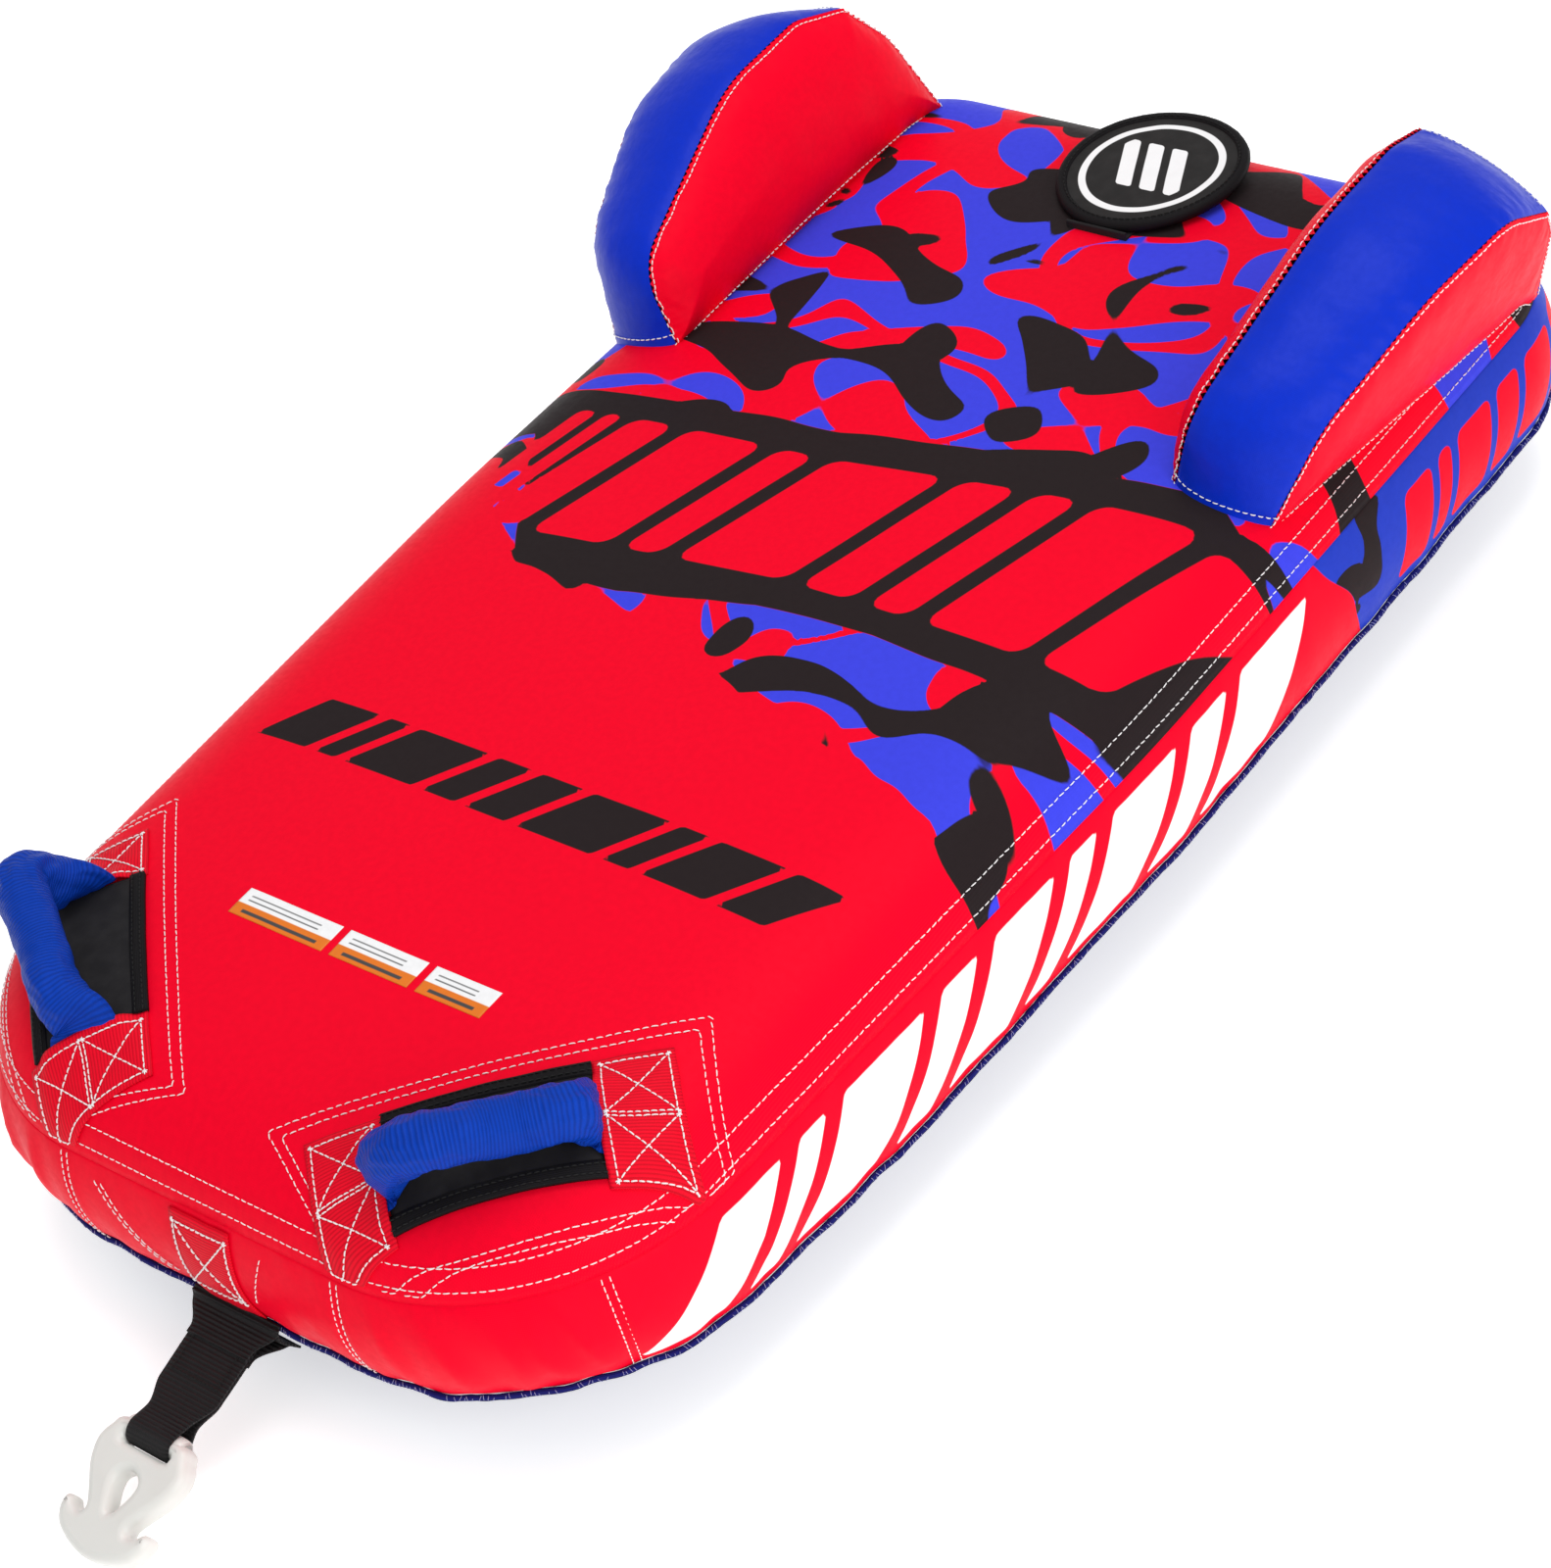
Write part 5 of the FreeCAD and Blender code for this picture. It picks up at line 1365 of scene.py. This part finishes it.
def wing_face(name, front, rear, place, out, side, node, swell, seed):
    """One puffed side face of a wing, and the run of its edge and foot."""
    edge = np.vstack([front, rear[1:]])
    run = run_along(edge)
    share = run / run[-1]
    foot_y = edge[0, 1] + (edge[-1, 1] - edge[0, 1]) * share
    foot = wing_foot(place, foot_y)
    rise = np.linspace(0.0, 1.0, 40)
    grid = foot[None] * (1.0 - rise[:, None, None]) + edge[None] * rise[:, None, None]
    y, z = grid[..., 1], grid[..., 2]
    gap = path_gap(grid, np.vstack([edge, foot[::-1]])[::2])
    edge_gap = path_gap(grid, edge[::2])
    puff = swell * (1.0 - np.exp(-gap / 17.0))
    puff = puff + 1.1 * clouds(y / 23.0, z / 31.0, seed) * ease(0.0, 14.0, gap)
    pucker = 0.9 * clouds(share[None, :] * run[-1] / 9.0, edge_gap / 22.0, seed + 1)
    puff = puff + pucker * np.exp(-((edge_gap - 7.0) / 6.0) ** 2)
    grid = grid + puff[..., None] * out
    uv = np.stack([y, z], -1)
    obj = piece(name + "_" + side, to_side(grid, side), grid_faces(*grid.shape[:2]), RED_CLOTH,
                "root", uv, away_from=to_side(grid.mean((0, 1)) - out * 60.0, side))
    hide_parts(node + "_" + side)
    normal = unit(np.cross(np.gradient(grid, axis=0), np.gradient(grid, axis=1)))
    normal = np.where((normal @ out)[..., None] < 0.0, -normal, normal)
    return grid, normal


def wing_top(name, edge_in, edge_out, side, node, material, swell, seed, gathers):
    """The band across the top of a wing, between its two side faces."""
    run = run_along(edge_out)
    share = np.linspace(0.0, 1.0, 34)
    grid = edge_in[None] * (1.0 - share[:, None, None]) + edge_out[None] * share[:, None, None]
    along = np.gradient(grid, axis=1)
    across = np.gradient(grid, axis=0)
    normal = unit(np.cross(along, across))
    middle = grid.mean((0, 1)) - np.array([0.0, 0.0, 70.0])
    sign = np.sign(np.sum(normal * (grid - middle), axis=(0, 1, 2)))
    normal = normal * sign
    width = np.linalg.norm(edge_out - edge_in, axis=1)
    gap_in, gap_out = share[:, None] * width, (1.0 - share[:, None]) * width
    lift = swell * (1.0 - (2.0 * share[:, None] - 1.0) ** 2) ** 0.75 * np.ones(len(run))
    pucker_out = clouds(run / 8.5, 0.5 + gap_out / 26.0, seed) * np.exp(-gap_out / 11.0)
    pucker_in = clouds(run / 11.0, 0.5 + gap_in / 26.0, seed + 1) * np.exp(-gap_in / 9.0)
    drag = clouds(run / 19.0 + share[:, None] * 1.2, share[:, None] * 1.1, seed + 2)
    folds = gathers * (2.3 * pucker_out + 0.9 * pucker_in + 0.6 * drag)
    lift = lift + folds * ease(0.0, 2.5, np.minimum(gap_in, gap_out))
    apex = -1 if edge_out[-1, 2] > edge_out[0, 2] else 0
    near = hill(run, run[apex], 16.0)[None, :, None]
    crown = APEX_BULGE * (1.0 - (2.0 * share[:, None] - 1.0) ** 2) ** 0.75
    grid = grid + normal * lift[..., None] * (1.0 - near) + APEX_OUT * crown[..., None] * near
    uv = np.stack(np.broadcast_arrays(run[None, :], gap_in), -1)
    obj = piece(name + "_" + side, to_side(grid, side), grid_faces(*grid.shape[:2]), material,
                "root", uv, away_from=to_side(middle, side))
    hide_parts(node + "_" + side)
    return grid, unit(np.cross(np.gradient(grid, axis=1), np.gradient(grid, axis=0))) * sign


def wing_bladder(side, inner, outer):
    """Air bladder that fills the wing, a little inside its cover."""
    rings = np.concatenate([inner[1::3], outer[::-3]])
    middle = rings.mean(0)
    rings = middle + (rings - middle) * 0.88
    rings = rings[:, 4:-4:2]
    count, columns = rings.shape[:2]
    points = np.vstack([rings.transpose(1, 0, 2).reshape(-1, 3), rings[:, 0].mean(0)[None],
                        rings[:, -1].mean(0)[None]])
    faces = capped_faces(columns, count)
    centre = to_side(points.mean(0), side)
    obj = piece("wing_air_bladder_" + side, to_side(points, side), faces, VINYL, "root",
                points[:, 1:], away_from=tuple(centre))
    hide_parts("wing_bladder_" + side)


def wing(side):
    seed = 110 if side == "right" else 130
    front_in, rear_in = wing_edge(WING_INNER, wing_inner_x)
    front_out, rear_out = wing_edge(WING_OUTER, wing_outer_x)
    face_in = unit(np.array([-1.0, 0.0, INNER_LEAN]))
    face_out = unit(np.array([1.0, -OUTER_TURN, -OUTER_LEAN]))
    inner, inner_normal = wing_face("wing_inner_face", front_in, rear_in, wing_inner_x, face_in,
                                    side, "wing_inner_panel", WING_INNER_SWELL, seed)
    outer, outer_normal = wing_face("wing_outer_face", front_out, rear_out, wing_outer_x,
                                    face_out, side, "wing_outer_panel",
                                    WING_OUTER_SWELL, seed + 3)
    gusset, gusset_normal = wing_top("wing_band", front_in, front_out, side, "wing_gusset",
                                     BLUE_CLOTH, WING_BULGE, seed + 6, 1.0)
    wing_top("wing_rear_face", rear_in, rear_out, side, "wing_rear_panel", DARK_RED_CLOTH,
             WING_REAR_BULGE, seed + 9, 0.5)
    wing_bladder(side, inner, outer)
    rows = []
    for grid, normal in ((inner, inner_normal), (outer, outer_normal)):
        rows.append((grid[-2] + normal[-2] * 0.7, normal[-2]))
        rows.append((grid[2][6:-6] + normal[2][6:-6] * 0.6, normal[2][6:-6]))
    rows.append((gusset[:, 3] + gusset_normal[:, 3] * 0.7, gusset_normal[:, 3]))
    rows.append((gusset[2:-2, -3] + gusset_normal[2:-2, -3] * 0.7, gusset_normal[2:-2, -3]))
    rows = [(to_side(p, side), to_side(n, side)) for p, n in rows]
    obj = stitches("wing_stitching_" + side, rows, "root", THREAD, pitch=5.0, length=3.7,
                   radius=0.45, seed=seed)


# ---- labels and valve cover ------------------------------------------------------------
LABEL_X = [(-109.0, -28.5), (-22.0, 43.5), (50.0, 103.0)]
LABEL_Y = (-404.0, -382.0)
AMBER = (0.74, 0.17, 0.004)
LABEL_PRINT = woven("label_vinyl", PRINT_WHITE, [("ink_amber", AMBER), ("ink_grey", (0.05, 0.05, 0.05))],
                    gloss=0.35, crease=0.0001, specular=0.3)


def labels():
    for number, (x0, x1) in enumerate(LABEL_X):
        x = np.linspace(x0, x1, int((x1 - x0) / 1.0))
        y = np.linspace(LABEL_Y[0], LABEL_Y[1], 30)
        yy, xx = np.meshgrid(y, x, indexing="ij")
        top, normal = deck_point(xx, yy, 0.45 + 0.12 * clouds(xx / 11.0, yy / 11.0, 99))
        amber = LABEL_Y[0] + 9.6 - yy
        rules = np.full(xx.shape, -5.0)
        for row in (13.0, 16.5):
            rules = np.maximum(rules, 0.5 - np.abs(yy - LABEL_Y[0] - row))
        rules = np.minimum(rules, np.minimum(xx - x0 - 6.0, x1 - 14.0 - xx))
        mark = np.minimum(1.3 - np.abs(yy - LABEL_Y[0] - 4.2),
                          np.minimum(xx - x0 - 8.0, x1 - 8.0 - xx))
        obj = plate("deck_label_%d" % (number + 1), top, 0.4, normal, LABEL_PRINT, "root",
                    np.stack([xx, yy], -1),
                    {"ink_amber": amber, "ink_grey": np.maximum(rules, mark)}, edge=0.1)
        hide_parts("deck_labels")


def valve_cover():
    """Round padded flap over the valve, with a bound edge and a printed ring."""
    low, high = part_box("valve_cover")
    centre = (low + high) / (2.0 * MM)
    bottom, top = low.z / MM, high.z / MM
    columns = 120
    angles = np.arange(columns) * 2.0 * math.pi / columns

    def warp(radius):
        return 1.3 * np.cos(2.0 * angles + 0.6) * (radius / FLAP_R) ** 2

    rings = []
    for radius in np.linspace(1.0, FLAP_FACE_R, 58):
        rings.append((radius, top + 1.2 * (1.0 - (radius / FLAP_FACE_R) ** 2)))
    rings += [(65.5, top - 1.0), (65.5, bottom + 1.0)]
    rings += [(radius, bottom) for radius in (64.5, 40.0, 1.0)]
    grid, fields, uv = [], [], []
    for radius, z in rings:
        x, y = radius * np.cos(angles), radius * np.sin(angles)
        ripple = 0.45 * clouds(x / 17.0, y / 17.0, 141) if z > bottom + 1.5 else 0.0
        grid.append(np.stack([centre.x + x, centre.y + y, z + ripple + warp(radius)], 1))
        ring = np.minimum(radius - 47.3, 52.6 - radius) * np.ones(columns)
        mark = bars(x, y + 25.0, 50.0, [13.0, 13.0, 13.0], 7.0, -14.5, -24.0, 2.5)
        mark = np.minimum(mark, 40.0 - radius)
        ink = np.maximum(ring, mark)
        fields.append(ink if z > bottom + 1.5 else np.full(columns, -9.0))
        uv.append(np.stack([x, y], 1))
    points = np.vstack([np.array(grid).reshape(-1, 3), grid[0].mean(0), grid[-1].mean(0)])
    faces = capped_faces(len(grid), columns)
    inks = np.concatenate([np.array(fields).ravel(), [fields[0].mean(), -9.0]])
    flat = np.vstack([np.array(uv).reshape(-1, 2), [[0.0, 0.0], [0.0, 0.0]]])
    obj = piece("valve_flap", points, faces, DISC_RUBBER, "valve_cover", flat, {"ink_white": inks},
                away_from=tuple(centre))
    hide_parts("valve_cover")
    section = [(60.6, top + 0.5), (62.0, top + 1.5), (65.5, top + 1.8), (68.0, top + 0.9),
               (69.2, (top + bottom) / 2.0), (68.0, bottom - 0.7), (65.5, bottom - 1.0),
               (62.0, bottom - 0.6), (60.8, bottom + 0.4)]
    grid = []
    for radius, z in section:
        swell = 0.35 * clouds(angles * 9.0, z / 9.0, 142)
        r = radius + swell * (radius > 61.5)
        grid.append(np.stack([centre.x + r * np.cos(angles), centre.y + r * np.sin(angles),
                              z + warp(radius)], 1))
    grid = np.array(grid)
    run = np.array([0.0, 1.8, 5.3, 8.1, 11.4, 15.0, 17.7, 21.2, 22.8])
    uv = np.stack(np.broadcast_arrays(angles[None, :] * 66.0, run[:, None]), -1)
    faces = grid_faces(len(grid), columns, wrap_rows=True, wrap_columns=True)
    obj = piece("valve_flap_edge", grid, faces, TAPE, "valve_cover", uv)
    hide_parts("valve_cover_binding")
    closed = np.append(angles, angles[0])
    heights = np.append(warp(FLAP_THREAD_R), warp(FLAP_THREAD_R)[0])
    path = np.stack([centre.x + FLAP_THREAD_R * np.cos(closed),
                     centre.y + FLAP_THREAD_R * np.sin(closed), top + 2.0 + heights], 1)
    obj = stitches("valve_flap_thread", [(path, np.tile([0.0, 0.0, 1.0], (len(path), 1)))],
                   "valve_cover", BLACK_THREAD, pitch=4.6, length=3.6, radius=0.45, seed=17)


# ---- build -----------------------------------------------------------------------------
deck_cover()
at = JOINT_AT
wall_panel("nose_wall", at["left"], at["nose"], "nose_wall_panel", RED_CLOTH)
wall_panel("corner_wall", at["nose"], at["corner"], "corner_wall_panel", RED_CLOTH)
wall_panel("right_wall", at["corner"], at["tail_right"], "side_wall_right",
           WALL_CLOTH)
wall_panel("rear_wall", at["tail_right"], at["tail_left"], "rear_wall_panel",
           WALL_CLOTH)
wall_panel("left_wall", at["tail_left"], at["left"], "side_wall_left", WALL_CLOTH)
bottom_cover()
bladder_skin()
bottom_piping()
seam_stitching()
deck_stitching()
for side in ("right", "left"):
    handle_mounts(side)
    handle_grip(side)
    wing(side)
tow_gear()
labels()
valve_cover()

CARRIED = {"bladder_baffles": VINYL, "drain_grommets": METAL, "valve_base": PLASTIC,
           "valve_cap": PLASTIC, "valve_cover_hook_tape": HOOK_TAPE, "valve_cover_tab": RUBBER,
           "valve_diaphragm": RUBBER, "valve_insert": PLASTIC, "valve_opening_trim": TAPE,
           "wing_air_neck_left": VINYL, "wing_air_neck_right": VINYL, "zipper_pull": METAL,
           "zipper_slider": METAL, "zipper_tape": TAPE, "zipper_teeth": PLASTIC}
for name, material in CARRIED.items():
    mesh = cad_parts[name].data
    mesh.materials.clear()
    mesh.materials.append(material)

# ---- floor, light and camera -----------------------------------------------------------
FLOOR_HALF = 9000.0
FLOOR_Z = -0.6
PAPER_WHITE = (1.0, 1.0, 1.0)
PAPER_GLOW = 0.45
SKY_STRENGTH = 0.62
LENS_MM = 90.63
SENSOR_MM = 36.0
CAMERA_PLACE = (1.526, -1.355, 1.751)
CAMERA_DEGREES = (49.35, 40.36, -17.35)

paper = Look("paper")
paper.surface(Base_Color=PAPER_WHITE, Roughness=0.9, Specular_IOR_Level=0.0,
              Emission_Color=PAPER_WHITE, Emission_Strength=PAPER_GLOW)
floor = piece("floor", [(x * FLOOR_HALF, y * FLOOR_HALF, FLOOR_Z)
                        for x, y in ((-1, -1), (1, -1), (1, 1), (-1, 1))],
              [(0, 1, 2, 3)], paper.material, None)

world = bpy.data.worlds.new("even_light")
world.use_nodes = True
sky = world.node_tree.nodes["Background"].inputs
sky["Color"].default_value = PAPER_WHITE + (1.0,)
sky["Strength"].default_value = SKY_STRENGTH
scene.world = world


def lamp(name, place, target, size, power):
    light = bpy.data.lights.new(name, "AREA")
    light.shape = "DISK"
    light.size = size
    light.energy = power
    obj = bpy.data.objects.new(name, light)
    obj.location = place
    aim = Vector(target) - Vector(place)
    obj.rotation_euler = aim.to_track_quat("-Z", "Y").to_euler()
    scene.collection.objects.link(obj)


lamp("key_light", (0.2, 0.6, 3.2), (0.0, 0.0, 0.1), 2.4, 44.0)
lamp("side_light", (3.0, -1.2, 1.7), (0.0, 0.0, 0.15), 2.6, 50.0)

AZIMUTH, ELEVATION, ROLL = (math.radians(a) for a in CAMERA_DEGREES)
ahead = Vector((-math.sin(AZIMUTH) * math.cos(ELEVATION), math.cos(AZIMUTH) * math.cos(ELEVATION),
                -math.sin(ELEVATION)))
level = Vector((math.cos(AZIMUTH), math.sin(AZIMUTH), 0.0))
upright = level.cross(ahead)
across = level * math.cos(ROLL) + upright * math.sin(ROLL)
upright = across.cross(ahead)
lens = bpy.data.cameras.new("camera")
lens.lens = LENS_MM
lens.sensor_width = SENSOR_MM
camera = bpy.data.objects.new("camera", lens)
turned = Matrix((across, upright, -ahead)).transposed().to_4x4()
camera.matrix_world = Matrix.Translation(CAMERA_PLACE) @ turned
scene.collection.objects.link(camera)
scene.camera = camera
scene.view_settings.view_transform = "Standard"
